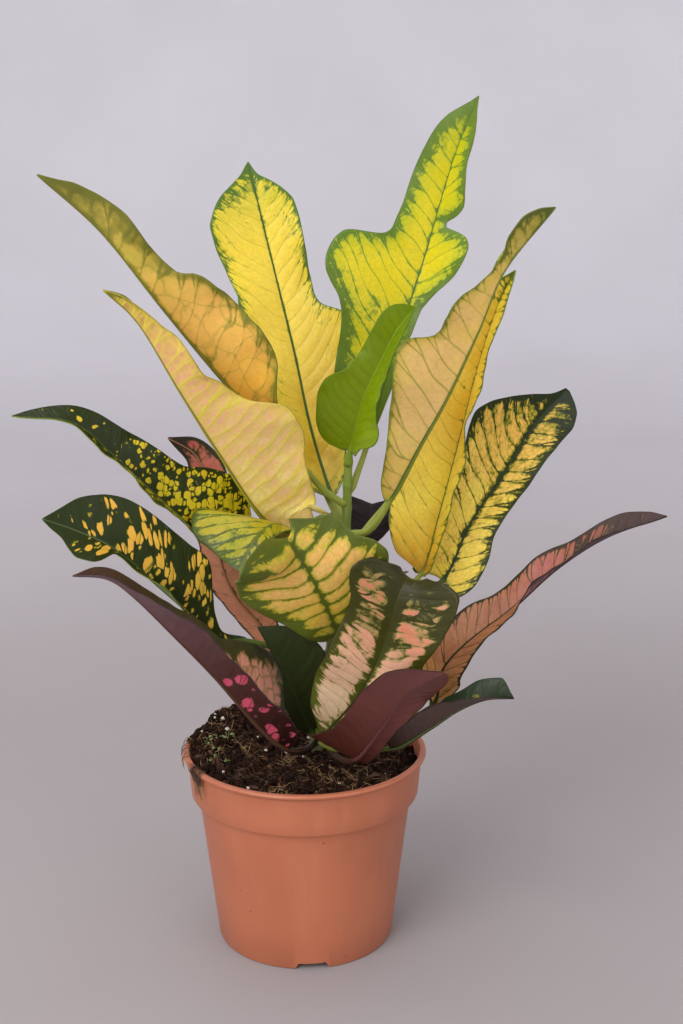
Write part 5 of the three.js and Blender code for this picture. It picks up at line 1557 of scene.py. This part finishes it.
@dataclass
class Pot:
    """The moulded nursery pot: a turned shell with a rolled rim, foot notches and drain holes.

    Sizes are in millimetres and degrees.

    Attributes:
        rim_inner: Radius of the rim's inside.
        band_top: Radius of the band under the lip, at its top.
        band_bottom: Radius of the band at its foot.
        band_height: Height of the band's foot.
        body_top: Radius of the body under the band.
        body_bottom: Radius of the body at the ground.
        underside: Height of the raised underside.
        foot_width: Width of the ring that the pot stands on.
        centre_foot: Radius of the round foot in the middle.
        notch_top: Width of a notch in the ring at its top.
        front_notch: Direction of the notch in front.
        hole_circle: Radius of the circle that the drain holes lie on.
        crease: Angle from which an edge stays sharp.
    """

    rim_height: float = 113.0
    rim_radius: float = 70.0
    rim_inner: float = 66.4
    rim_lip: float = 2.4
    band_top: float = 67.4
    band_bottom: float = 65.6
    band_height: float = 87.5
    body_top: float = 61.8
    body_bottom: float = 51.3
    wall: float = 1.3
    underside: float = 4.0
    base: float = 1.6
    foot_width: float = 4.2
    centre_foot: float = 10.0
    steps: int = 144
    notches: int = 3
    notch_top: float = 15.5
    notch_bottom: float = 20.0
    notch_height: float = 3.8
    front_notch: float = -84.5
    holes: int = 6
    hole_radius: float = 4.2
    hole_circle: float = 36.0
    hole_sides: int = 28
    crease: float = 40.0

    def profile(self) -> list[tuple[float, float]]:
        """Draws the wall's section.

        Returns:
            Radius and height of its points, from the middle of the underside to that of the floor.
        """
        centre, bottom, under = self.centre_foot, self.body_bottom, self.underside
        foot, floor, wall = bottom - self.foot_width, under + self.base, self.wall
        body, band, top = self.body_top, self.band_bottom, self.band_top
        rim, inside, height = self.rim_radius, self.rim_inner, self.rim_height
        step, lip = self.band_height, height - self.rim_lip
        return [
            (0, 0), (centre - 0.4, 0), (centre, 0.3), (centre + 1.4, under - 0.4), (centre + 2, under),
            (foot - 2, under), (foot - 1.4, under - 0.4), (foot, 0.3), (foot + 0.4, 0),
            (bottom - 1.3, 0), (bottom - 0.6, 0.25), (bottom - 0.2, 0.9),
            (bottom + 2.4, 22), (bottom + 5.1, 45), (bottom + 7.9, 68),
            (body - 0.25, step - 1.8), (body, step - 0.9), (body + 0.35, step - 0.25), (body + 1.0, step),
            (band - 0.9, step), (band - 0.3, step + 0.25), (band, step + 0.9), (band + 0.7, step + 9),
            (top - 0.1, lip - 2), (top + 0.1, lip - 0.9), (top + 0.7, lip - 0.3),
            (rim - 0.7, lip - 0.1), (rim - 0.15, lip + 0.35), (rim, lip + 0.9),
            (rim - 0.05, height - 1.0), (rim - 0.3, height - 0.4), (rim - 0.9, height),
            (inside + 0.9, height), (inside + 0.25, height - 0.25), (inside - 0.1, height - 0.9),
            (band - wall, step + wall + 1.6), (band - wall - 0.6, step + wall + 1.0),
            (body - wall + 0.6, step + wall + 0.4), (body - wall, step + wall - 0.4),
            (bottom - wall + 1.2, floor + 0.8), (bottom - wall, floor), (0, floor),
        ]

    def build(self) -> bpy.types.Object:
        """Turns the shell, cuts it and dresses it.

        Returns:
            The pot's piece.
        """
        bm = lathe([(radius * MM, height * MM) for radius, height in self.profile()], self.steps)
        bmesh.ops.recalc_face_normals(bm, faces=bm.faces[:])
        piece = new_piece("nursery_pot", bm, [MouldedPlastic().material()])
        self._cut(piece)
        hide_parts("pot")
        return piece

    def _cut(self, piece: bpy.types.Object) -> None:
        """Cuts the foot notches and drain holes and keeps the result in the mesh.

        Args:
            piece: The pot's piece.
        """
        bm = bmesh.new()
        for i in range(self.notches):
            made = bmesh.ops.create_cube(bm, size=2.0)["verts"]
            for vert in made:
                half = self.notch_top / 2 if vert.co.z > 0 else self.notch_bottom / 2 + 0.6
                vert.co.x *= half
                vert.co.y = self.body_bottom - self.foot_width - 3 + (6 + self.foot_width) * (vert.co.y > 0)
                vert.co.z = self.notch_height if vert.co.z > 0 else -1.0
            turn = math.radians(self.front_notch - 90 + 360 * i / self.notches)
            bmesh.ops.rotate(bm, verts=made, cent=(0, 0, 0), matrix=Matrix.Rotation(turn, 3, "Z"))
        for i in range(self.holes):
            made = bmesh.ops.create_cone(
                bm, cap_ends=True, segments=self.hole_sides,
                radius1=self.hole_radius, radius2=self.hole_radius, depth=8,
            )["verts"]
            bmesh.ops.translate(bm, verts=made, vec=(self.hole_circle, 0, self.underside))
            turn = math.radians(360 * (i + 0.5) / self.holes)
            bmesh.ops.rotate(bm, verts=made, cent=(0, 0, 0), matrix=Matrix.Rotation(turn, 3, "Z"))
        bmesh.ops.scale(bm, verts=bm.verts[:], vec=(MM, MM, MM))
        bmesh.ops.recalc_face_normals(bm, faces=bm.faces[:])
        mesh = bpy.data.meshes.new("cutter")
        bm.to_mesh(mesh)
        bm.free()
        cutter = bpy.data.objects.new("cutter", mesh)
        bpy.context.scene.collection.objects.link(cutter)
        cut = piece.modifiers.new("cut", "BOOLEAN")
        cut.operation = "DIFFERENCE"
        cut.solver = "EXACT"
        cut.object = cutter
        graph = bpy.context.evaluated_depsgraph_get()
        done = bpy.data.meshes.new_from_object(piece.evaluated_get(graph))
        piece.modifiers.clear()
        bpy.data.objects.remove(cutter)
        bm = bmesh.new()
        bm.from_mesh(done)
        sharp = math.radians(self.crease)
        for edge in bm.edges:
            edge.smooth = not (len(edge.link_faces) == 2 and edge.calc_face_angle() > sharp)
        bm.to_mesh(done)
        bm.free()
        done.shade_smooth()
        piece.data = done


@dataclass(frozen=True)
class Peat:
    """Damp peat: near black in the bump's hollows, which is partly the wet peat's own colour and partly
    painted shade, warm brown crumb and paler dry threads, no shine.

    Attributes:
        name: The material's name.
        stops: Colours from the hollows to the tops; the darkest is partly painted shade.
        thread: Colour of the dry threads.
    """

    name: str
    stops: tuple[tuple[float, str], ...] = (
        (0.34, "060302"), (0.48, "170b06"), (0.6, "2e190f"), (0.76, "5c3a24"),
    )
    thread: str = "4a3220"

    def material(self) -> bpy.types.Material:
        """Builds the node material.

        Returns:
            The material.
        """
        made, tree = new_material(self.name)
        spot = add(tree, "TexCoord").outputs["Object"]
        grain = add(tree, "TexNoise", {"Vector": spot, "Scale": 420.0, "Detail": 6.0, "Roughness": 0.7})
        # The grain sets both colour and bump, so the hollows are darkest: partly the peat's own dark,
        # partly painted shade.
        skin = add(tree, "ValToRGB", {0: grain.outputs[0]}, stops=self.stops)
        thread = add(tree, "TexVoronoi", {"Vector": spot, "Scale": 330.0}, feature="DISTANCE_TO_EDGE")
        amount = add(tree, "MapRange", {0: thread.outputs[0], 1: 0.01, 2: 0.05, 3: 0.25, 4: 0.0})
        skin = add(tree, "MixRGB", {0: amount, 1: skin, 2: linear(self.thread)})
        bump = {"Strength": 0.9, "Distance": 0.5 * MM, "Height": grain.outputs[0]}
        shader = {
            "Base Color": skin, "Roughness": 0.92, "Specular IOR Level": 0.1,
            "Normal": add(tree, "Bump", bump),
        }
        add(tree, "OutputMaterial", {"Surface": add(tree, "BsdfPrincipled", shader)})
        return made


@dataclass(frozen=True)
class BarkChip:
    """Composted bark chips: reddish brown with a darker grain.

    Attributes:
        stops: Colours from the grain to the tops.
    """

    stops: tuple[tuple[float, str], ...] = ((0.2, "2c1a11"), (0.5, "57331f"), (0.8, "8a5f3c"))

    def material(self) -> bpy.types.Material:
        """Builds the node material.

        Returns:
            The material.
        """
        made, tree = new_material("bark_chip")
        spot = add(tree, "TexCoord").outputs["Object"]
        tone = add(tree, "Attribute", attribute_name="crumb")
        grain = add(tree, "TexNoise", {"Vector": spot, "Scale": 900.0, "Detail": 4.0})
        mix = add(tree, "Math", {0: grain.outputs[0], 1: tone.outputs["Fac"]})
        mix = add(tree, "Math", {0: mix, 1: 0.5}, operation="MULTIPLY")
        skin = add(tree, "ValToRGB", {0: mix}, stops=self.stops)
        bump = {"Strength": 0.6, "Distance": 0.2 * MM, "Height": grain.outputs[0]}
        shader = {"Base Color": skin, "Roughness": 0.8, "Normal": add(tree, "Bump", bump)}
        add(tree, "OutputMaterial", {"Surface": add(tree, "BsdfPrincipled", shader)})
        return made


@dataclass(frozen=True)
class Grained:
    """A plain finish whose colour follows its grain.

    Attributes:
        name: The material's name.
        scale: Fineness of the grain.
        detail: Steps of detail in it.
        stops: Colours from the grain's hollows to its tops.
        roughness: Surface roughness.
        relief: Strength of the relief, 0 for none.
        depth: Depth of the relief, in metres.
    """

    name: str
    scale: float
    detail: float
    stops: tuple[tuple[float, str], ...]
    roughness: float
    relief: float = 0.0
    depth: float = 0.2 * MM

    def material(self) -> bpy.types.Material:
        """Builds the node material.

        Returns:
            The material.
        """
        made, tree = new_material(self.name)
        spot = add(tree, "TexCoord").outputs["Object"]
        grain = add(tree, "TexNoise", {"Vector": spot, "Scale": self.scale, "Detail": self.detail})
        skin = add(tree, "ValToRGB", {0: grain.outputs[0]}, stops=self.stops)
        shader = {"Base Color": skin, "Roughness": self.roughness}
        if self.relief:
            bump = {"Strength": self.relief, "Distance": self.depth, "Height": grain.outputs[0]}
            shader["Normal"] = add(tree, "Bump", bump)
        add(tree, "OutputMaterial", {"Surface": add(tree, "BsdfPrincipled", shader)})
        return made


# Perlite grains: chalky off-white foam, stained in places.
PERLITE = Grained(
    "perlite", 1500.0, 4.0, ((0.35, "8f7a63"), (0.48, "c9bdab"), (0.7, "e6ded2")), 0.85, 0.7,
)
# Coir and dry root threads: straw to reddish brown.
COIR = Grained("coir_thread", 60.0, 2.0, ((0.38, "2c1a10"), (0.5, "5c3e24"), (0.62, "a08054")), 0.7)
# Seedling leaves: fresh pale green with a soft waxy look.
SEEDLING = Grained(
    "seedling_green", 300.0, 3.0, ((0.35, "4a5a2c"), (0.5, "687a42"), (0.68, "8e9c66")), 0.5,
)


@dataclass(frozen=True)
class Drape:
    """Fibres that hang over the rim, in millimetres.

    Attributes:
        count: Number of fibres.
        arc: Directions between which they hang, in degrees.
        path: Heights and radii that they pass.
        stray: How far they stray sideways on the way, in radians.
        ends: Heights between which they end.
        end_radius: Radius at the higher of these.
        tuck: How much less the radius is for each millimetre further down.
        thickest: Greatest radius of a fibre.
        end_stray: How far their ends stray sideways, in radians.
    """

    count: int
    arc: tuple[float, float]
    path: tuple[tuple[float, float], ...]
    stray: float
    ends: tuple[float, float]
    end_radius: float
    tuck: float
    thickest: float
    end_stray: float = 0.05


@dataclass
class Compost:
    """Peaty potting compost: a rough crumbly top with bark, fibres, perlite and seedlings.

    Sizes are in millimetres and degrees.

    Attributes:
        level: Height of the top at the wall.
        tilt: How much lower it lies on the right.
        crown: How much higher it lies in the middle.
        heap: Middle of the heap at the back left.
        heap_spread: How wide it spreads.
        clod: Height of the broad clods.
        lumps: Height and size of the crumbly surface's lumps, the largest first.
        inside: Radius of the pot's inside at the rim.
        edge: Radius that the compost reaches inside the rim.
        spill: How far spilled compost reaches over the rim.
        cells: Faces across the top.
        skirt: Radius and drop of each ring below the top, the last two measured from the rim.
        crumbs: Number of loose crumbs tried.
        grains: Share of peat, bark and perlite among them, with the least size of each, how much
            larger they get, and how rare the large ones are.
        crumb_reach: How far out they lie.
        crumb_edge: Distance beyond which they're drawn in, unless compost has spilled there.
        stem_at: Where the stem stands.
        stem_clear: Distance around it without crumbs.
        fibres: Number of fibres tried.
        fibre_reach: How far out they start.
        fibre_end: Where they stop at the latest.
        fibre_length: Least length of a fibre, and how much longer they get.
        fibre_radius: Least radius of a fibre, and how much thicker they get.
        fibre_steps: Steps from end to end of a fibre.
        drapes: The tuft over the rim, and the short fibres beside it.
        sprouts: Number of seedlings tried.
        sprout_patch: Least and greatest x and y of their middles.
        sprout_reach: How far out these lie at the most.
        batch: Forms made in one small mesh.
        seeds: Seeds of the crumbs, fibres and seedlings.
    """

    level: float = 107.0
    tilt: float = 3.5
    crown: float = 3.0
    heap: tuple[float, float] = (-42.0, 24.0)
    heap_height: float = 14.0
    heap_spread: float = 21.0
    clod: float = 1.4
    lumps: tuple[tuple[float, float], ...] = ((1.9, 8.0), (1.0, 2.3), (0.45, 1.0))
    inside: float = 66.4
    edge: float = 65.1
    rim: float = 113.0
    spill: float = 3.1
    cells: int = 120
    skirt: tuple[tuple[float, float], ...] = ((65.5, 1.5), (64.1, 14.0), (59.0, 24.0))
    crumbs: int = 1900
    grains: tuple[tuple[float, ...], ...] = (
        (0.80, 0.55, 1.5, 2.5), (0.15, 0.6, 1.3, 2), (0.05, 0.4, 0.8, 2),
    )
    crumb_reach: float = 66.5
    crumb_edge: float = 64.0
    stem_at: tuple[float, float] = (6.0, 4.0)
    stem_clear: float = 6.5
    fibres: int = 1300
    fibre_reach: float = 62.0
    fibre_end: float = 65.0
    fibre_length: tuple[float, float] = (4, 17)
    fibre_radius: tuple[float, float] = (0.06, 0.14)
    fibre_steps: int = 4
    drapes: tuple[Drape, ...] = (
        Drape(
            46, (204, 216), ((113.8, 66.5), (113.9, 69.4), (111.5, 70.6), (108.5, 69.4)),
            0.03, (94, 108), 67.9, 0.07, 0.2,
        ),
        Drape(
            16, (172, 196), ((114.4, 65.5), (115.2, 69.0), (113.0, 71.0)),
            0.05, (105, 111), 70.8, 0.0, 0.18,
        ),
    )
    sprouts: int = 12
    sprout_patch: tuple[float, float, float, float] = (-62, -38, -28, 12)
    sprout_reach: float = 62.0
    batch: int = 40
    seeds: tuple[int, int, int] = (11, 23, 5)

    def height(self, x: float, y: float) -> float:
        """Finds the height of the compost's broad shape.

        Args:
            x: Place to the right.
            y: Place to the back.

        Returns:
            The height there.
        """
        reach = math.hypot(x, y) / self.inside
        far = math.hypot(x - self.heap[0], y - self.heap[1]) / self.heap_spread
        clods = math.sin(x * 0.31 + 1.3) * math.sin(y * 0.37 + 0.4)
        clods += 0.6 * math.sin(x * 0.73 - y * 0.52 + 2.1)
        swell = self.crown * (1 - reach * reach) + self.heap_height * math.exp(-0.5 * far * far)
        return self.level - self.tilt * x / self.inside + swell + self.clod * clods

    def spilled(self, angle: float) -> float:
        """How far the compost has spilled on to the rim in a direction, from 0 to 1."""
        edge = self.height(self.edge * math.cos(angle), self.edge * math.sin(angle))
        return smoothstep(self.rim + 0.7, self.rim + 2.5, edge)

    def surface(self, x: float, y: float) -> float:
        """Finds the height of the crumbly surface.

        Args:
            x: Place to the right.
            y: Place to the back.

        Returns:
            The height there.
        """
        spot = Vector((x, y, 3.0))
        (tall, wide), *finer = self.lumps
        rough = tall * noise.fractal(spot / wide, 0.7, 2.0, 3)
        for rise, size in finer:
            rough += rise * noise.noise(spot / size)
        radius = math.hypot(x, y)
        near = smoothstep(self.edge - 6, self.edge, radius)
        lying = self.height(x, y) + rough
        spilled = self.spilled(math.atan2(y, x))
        top = self.rim + 1.2 + 0.5 * rough
        over = smoothstep(self.edge - 5, self.edge + 1.5, radius) * spilled
        return (lying - 0.4 * near) * (1 - over) + top * over

    def build(self) -> list[bpy.types.Object]:
        """Makes the compost and what lies on it.

        Returns:
            The compost's pieces.
        """
        bed = self._bed()
        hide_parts("soil")
        pieces = [bed, self._crumbs(), self._fibres(), self._sprouts()]
        return pieces

    def _bed(self) -> bpy.types.Object:
        """The compost's body: a rough top with a skirt and floor inside the pot.

        Returns:
            The piece.
        """
        bm = bmesh.new()
        bmesh.ops.create_grid(bm, x_segments=self.cells, y_segments=self.cells, size=1.0)
        for vert in bm.verts:
            u, v = vert.co.x, vert.co.y
            x, y = u * math.sqrt(1 - v * v / 2), v * math.sqrt(1 - u * u / 2)
            angle = math.atan2(y, x)
            radius = self.edge + 0.6 + (self.spill + 0.2) * self.spilled(angle)
            x, y = x * radius, y * radius
            vert.co = Vector((x, y, self.surface(x, y))) * MM
        for reach, drop in self.skirt:
            border = [edge for edge in bm.edges if edge.is_boundary]
            made = bmesh.ops.extrude_edge_only(bm, edges=border)["geom"]
            for vert in [item for item in made if isinstance(item, bmesh.types.BMVert)]:
                angle = math.atan2(vert.co.y, vert.co.x)
                low = min(vert.co.z / MM - drop, self.rim + 0.1)
                if drop > 2:
                    low = self.rim - drop
                vert.co = Vector((reach * math.cos(angle), reach * math.sin(angle), low)) * MM
        bmesh.ops.holes_fill(bm, edges=[edge for edge in bm.edges if edge.is_boundary], sides=0)
        bmesh.ops.recalc_face_normals(bm, faces=bm.faces[:])
        return new_piece("compost_bed", bm, [Peat("peat_bed").material()])

    def _crumbs(self) -> bpy.types.Object:
        """Loose crumbs of peat, chips of bark and grains of perlite, sunk a little into the bed.

        Returns:
            The piece.
        """
        chance = random.Random(self.seeds[0])
        whole, bm = bmesh.new(), bmesh.new()
        for index in range(self.crumbs):
            if index % self.batch == 0:
                bm = pour(bm, whole)
                tone = bm.verts.layers.float_vector.new("crumb")
            kind = chance.choices(list(Grain), weights=[row[0] for row in self.grains])[0]
            sizes = [least + more * chance.random() ** rare for _, least, more, rare in self.grains]
            size = sizes[kind.value]
            angle = chance.uniform(0, 2 * math.pi)
            radius = self.crumb_reach * math.sqrt(chance.random())
            x, y = radius * math.cos(angle), radius * math.sin(angle)
            if radius > self.crumb_edge and self.spilled(angle) < 0.5:
                x, y = x * 0.95, y * 0.95
            if math.hypot(x - self.stem_at[0], y - self.stem_at[1]) < self.stem_clear:
                continue
            made = bmesh.ops.create_icosphere(bm, subdivisions=1 if size < 0.9 else 2, radius=1.0)["verts"]
            stretch = Vector([chance.uniform(0.7, 1.25) for _ in range(3)])
            if kind is Grain.BARK:
                stretch = Vector((chance.uniform(1.0, 2.2), 0.8, 0.35))
            turn = Matrix.Rotation(chance.uniform(0, 6.28), 3, "Z")
            turn = turn @ Matrix.Rotation(chance.uniform(-0.5, 0.5), 3, "X")
            shade, shift = chance.random(), chance.random() * 40
            for vert in made:
                bumpy = 1 + 0.28 * noise.noise(vert.co * 1.7 + Vector((shift, 0, 0)))
                lump = turn @ (Vector(vert.co[k] * stretch[k] for k in range(3)) * bumpy * size)
                vert.co = (Vector((x, y, self.surface(x, y) + 0.25 * size)) + lump) * MM
                vert[tone] = (shade, 0.0, 0.0)
            for face in {face for vert in made for face in vert.link_faces}:
                face.material_index = kind.value
        pour(bm, whole).free()
        skins = [Peat("peat_crumb").material(), BarkChip().material(), PERLITE.material()]
        return new_piece("compost_crumbs", whole, skins)

    def _fibres(self) -> bpy.types.Object:
        """Coir fibres and fine roots lying on the bed, and a tuft hanging over the rim on the left.

        Returns:
            The piece.
        """
        chance = random.Random(self.seeds[1])
        (least, more), (thin, thicker) = self.fibre_length, self.fibre_radius
        whole, bm = bmesh.new(), bmesh.new()
        for index in range(self.fibres):
            if index % self.batch == 0:
                bm = pour(bm, whole)
            angle = chance.uniform(0, 2 * math.pi)
            radius = self.fibre_reach * math.sqrt(chance.random())
            x, y = radius * math.cos(angle), radius * math.sin(angle)
            heading = chance.uniform(0, 2 * math.pi)
            length = least + more * chance.random() ** 2
            points = []
            lift = chance.uniform(0.2, 0.9)
            for step in range(self.fibre_steps + 1):
                if math.hypot(x, y) > self.fibre_end:
                    break
                raised = 0.6 if step in (0, self.fibre_steps) else 0
                points.append((x, y, self.surface(x, y) + lift + raised))
                heading += chance.uniform(-0.4, 0.4)
                x += math.cos(heading) * length / self.fibre_steps
                y += math.sin(heading) * length / self.fibre_steps
            self._fibre(bm, points, thin + thicker * chance.random() ** 2)
        for drape in self.drapes:
            for _ in range(drape.count):
                angle = math.radians(chance.uniform(*drape.arc))
                low = chance.uniform(*drape.ends)
                end = drape.end_radius - drape.tuck * (drape.ends[1] - low)
                spots = [(*spot, drape.stray) for spot in drape.path]
                points = []
                for height, radius, stray in (*spots, (low, end, drape.end_stray)):
                    turn = angle + chance.uniform(-stray, stray)
                    points.append((radius * math.cos(turn), radius * math.sin(turn), height))
                self._fibre(bm, points, chance.uniform(0.1, drape.thickest))
        pour(bm, whole).free()
        bmesh.ops.recalc_face_normals(whole, faces=whole.faces[:])
        return new_piece("compost_fibres", whole, [COIR.material()])

    @staticmethod
    def _fibre(
        bm: bmesh.types.BMesh,
        points: list[tuple[float, float, float]],
        radius: float,
        count: int = 7,
    ) -> None:
        """Adds one fibre through the points, if there are enough of them.

        Args:
            bm: The mesh that gets the fibre.
            points: What it passes through, in millimetres.
            radius: Its radius in the middle.
            count: Faces along it.
        """
        if len(points) < 3:
            return
        line = Line(points)
        distances = [line.total * i / count for i in range(count + 1)]
        radii = [radius * (1 - 0.6 * abs(2 * i / count - 1) ** 3) for i in range(count + 1)]
        tube(bm, frames_along(line, distances, radii), 5)

    def _sprouts(self) -> bpy.types.Object:
        """Tiny pale green seedlings on the left of the bed.

        Returns:
            The piece.
        """
        chance = random.Random(self.seeds[2])
        bm = bmesh.new()
        for _ in range(self.sprouts):
            left, right, front, back = self.sprout_patch
            x, y = chance.uniform(left, right), chance.uniform(front, back)
            if math.hypot(x, y) > self.sprout_reach:
                continue
            for _ in range(chance.randint(3, 6)):
                made = bmesh.ops.create_icosphere(bm, subdivisions=2, radius=1.0)["verts"]
                size = chance.uniform(0.5, 1.1)
                turn = Matrix.Rotation(chance.uniform(0, 6.28), 3, "Z")
                turn = turn @ Matrix.Rotation(chance.uniform(-0.9, 0.9), 3, "X")
                dx, dy = chance.uniform(-1.6, 1.6), chance.uniform(-1.6, 1.6)
                base = Vector((x + dx, y + dy, self.surface(x + dx, y + dy) + 0.7 + chance.random()))
                for vert in made:
                    flat = Vector((vert.co.x * 1.3, vert.co.y * 0.9, vert.co.z * 0.28)) * size
                    vert.co = (base + turn @ flat) * MM
        return new_piece("compost_seedlings", bm, [SEEDLING.material()])


@dataclass(frozen=True)
class StudioPaper:
    """Matt studio paper: pale lilac grey, with painted shade darkest in the middle of the floor that grades
    to painted light up the wall.

    Attributes:
        stops: Colours from the middle of the floor to the wall, from painted shade near the plant to
            painted light up the wall.
    """

    stops: tuple[tuple[float, str], ...] = (
        (0.0, "9a9394"), (0.35, "bab5ba"), (0.75, "d3d0d6"), (1.0, "dcdadf"),
    )

    def material(self) -> bpy.types.Material:
        """Builds the node material.

        Returns:
            The material.
        """
        made, tree = new_material("studio_paper_painted_shade")
        spot = add(tree, "TexCoord").outputs["Object"]
        away = add(tree, "VectorMath", {0: spot}, operation="LENGTH").outputs["Value"]
        # Painted shade and light: the paper is darkest near the plant and lighter further out and up the
        # wall.
        tone = add(tree, "MapRange", {0: away, 1: 0.4, 2: 3.0})
        skin = add(tree, "ValToRGB", {0: tone}, stops=self.stops)
        mottle = add(tree, "TexNoise", {"Vector": spot, "Scale": 3.0, "Detail": 4.0})
        amount = add(tree, "MapRange", {0: mottle.outputs[0], 1: 0.3, 2: 0.7, 3: 0.97, 4: 1.03})
        skin = add(tree, "MixRGB", {0: 1.0, 1: skin, 2: amount}, blend_type="MULTIPLY")
        shader = add(tree, "BsdfPrincipled", {"Base Color": skin, "Roughness": 0.85})
        add(tree, "OutputMaterial", {"Surface": shader})
        return made


@dataclass
class Studio:
    """A plain pale sweep, soft lights and the camera.

    Sizes are in metres and degrees.

    Attributes:
        floor_reach: Radius of the flat floor.
        sweep: Radius of the curve that leads up to the wall.
        look_down: How far the camera looks down.
        sky: Colour of the light from all round, and its strength.
        aim: What the lamps face.
        lamps: Name, place, size and watts of each soft light.
    """

    floor_reach: float = 1.8
    sweep: float = 1.2
    wall_top: float = 2.6
    sides: int = 96
    lens: float = 50.0
    camera_at: tuple[float, float, float] = (0.0212, -0.7713, 0.4300)
    look_down: float = 13.0
    sky: tuple[str, float] = ("f4f2f3", 0.72)
    aim: tuple[float, float, float] = (0.0, 0.0, 0.22)
    lamps: tuple[tuple[str, tuple[float, float, float], float, float], ...] = (
        ("key", (-1.0, -1.5, 1.6), 1.3, 31.0),
        ("fill", (1.5, -1.4, 0.9), 1.6, 10.5),
        ("low", (-0.75, -1.35, 0.42), 1.0, 7.5),
        ("top", (-0.3, 0.3, 2.3), 2.0, 17.0),
    )

    def build(self) -> None:
        """Makes the sweep, the lights and the camera."""
        scene = bpy.context.scene
        scene.view_settings.view_transform = "Standard"
        view = bpy.data.objects.new("camera", bpy.data.cameras.new("camera"))
        view.data.lens = self.lens
        view.data.sensor_width = 36.0
        view.location = self.camera_at
        view.rotation_euler = (math.radians(90 - self.look_down), 0.0, 0.0)
        view.data.clip_start = 0.01
        view.data.clip_end = 50.0
        scene.collection.objects.link(view)
        scene.camera = view
        self._sweep()
        world = bpy.data.worlds.new("soft_room")
        world.use_nodes = True
        sky = world.node_tree.nodes["Background"]
        sky.inputs["Color"].default_value = linear(self.sky[0])
        sky.inputs["Strength"].default_value = self.sky[1]
        scene.world = world
        for lamp in self.lamps:
            self._lamp(*lamp)

    def _sweep(self) -> None:
        """Turns a round sweep of paper: a flat floor that curves up into a low wall all round."""
        profile = [(0.0, 0.0), (0.6, 0.0), (self.floor_reach, 0.0)]
        for step in range(1, 13):
            angle = math.pi / 2 * step / 12
            reach = self.floor_reach + self.sweep * math.sin(angle)
            profile.append((reach, self.sweep * (1 - math.cos(angle))))
        profile.append((self.floor_reach + self.sweep, self.wall_top))
        bm = lathe(profile, self.sides)
        mesh = bpy.data.meshes.new("studio_sweep")
        bm.to_mesh(mesh)
        bm.free()
        mesh.shade_smooth()
        mesh.materials.append(StudioPaper().material())
        floor = bpy.data.objects.new("studio_sweep", mesh)
        bpy.context.scene.collection.objects.link(floor)

    def _lamp(self, name: str, place: tuple[float, float, float], size: float, watts: float) -> None:
        """Hangs a square soft light that faces the plant.

        Args:
            name: The light's name.
            place: Where it hangs.
            size: Length of its sides.
            watts: Its power.
        """
        lamp = bpy.data.lights.new(name, "AREA")
        lamp.size = size
        lamp.energy = watts
        holder = bpy.data.objects.new(name, lamp)
        holder.location = place
        way = Vector(self.aim) - Vector(place)
        holder.rotation_euler = way.to_track_quat("-Z", "Y").to_euler()
        holder.visible_camera = False
        bpy.context.scene.collection.objects.link(holder)


def main() -> None:
    """Builds the studio and the plant."""
    logging.basicConfig(level=logging.INFO, format="%(name)s %(message)s")
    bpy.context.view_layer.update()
    Studio().build()
    Pot().build()
    Compost().build()
    stem = Stem()
    stem.build()
    leaves = Foliage().build(stem)
    log.info("leaves: %d", len(leaves))


if __name__ == "__main__":
    main()
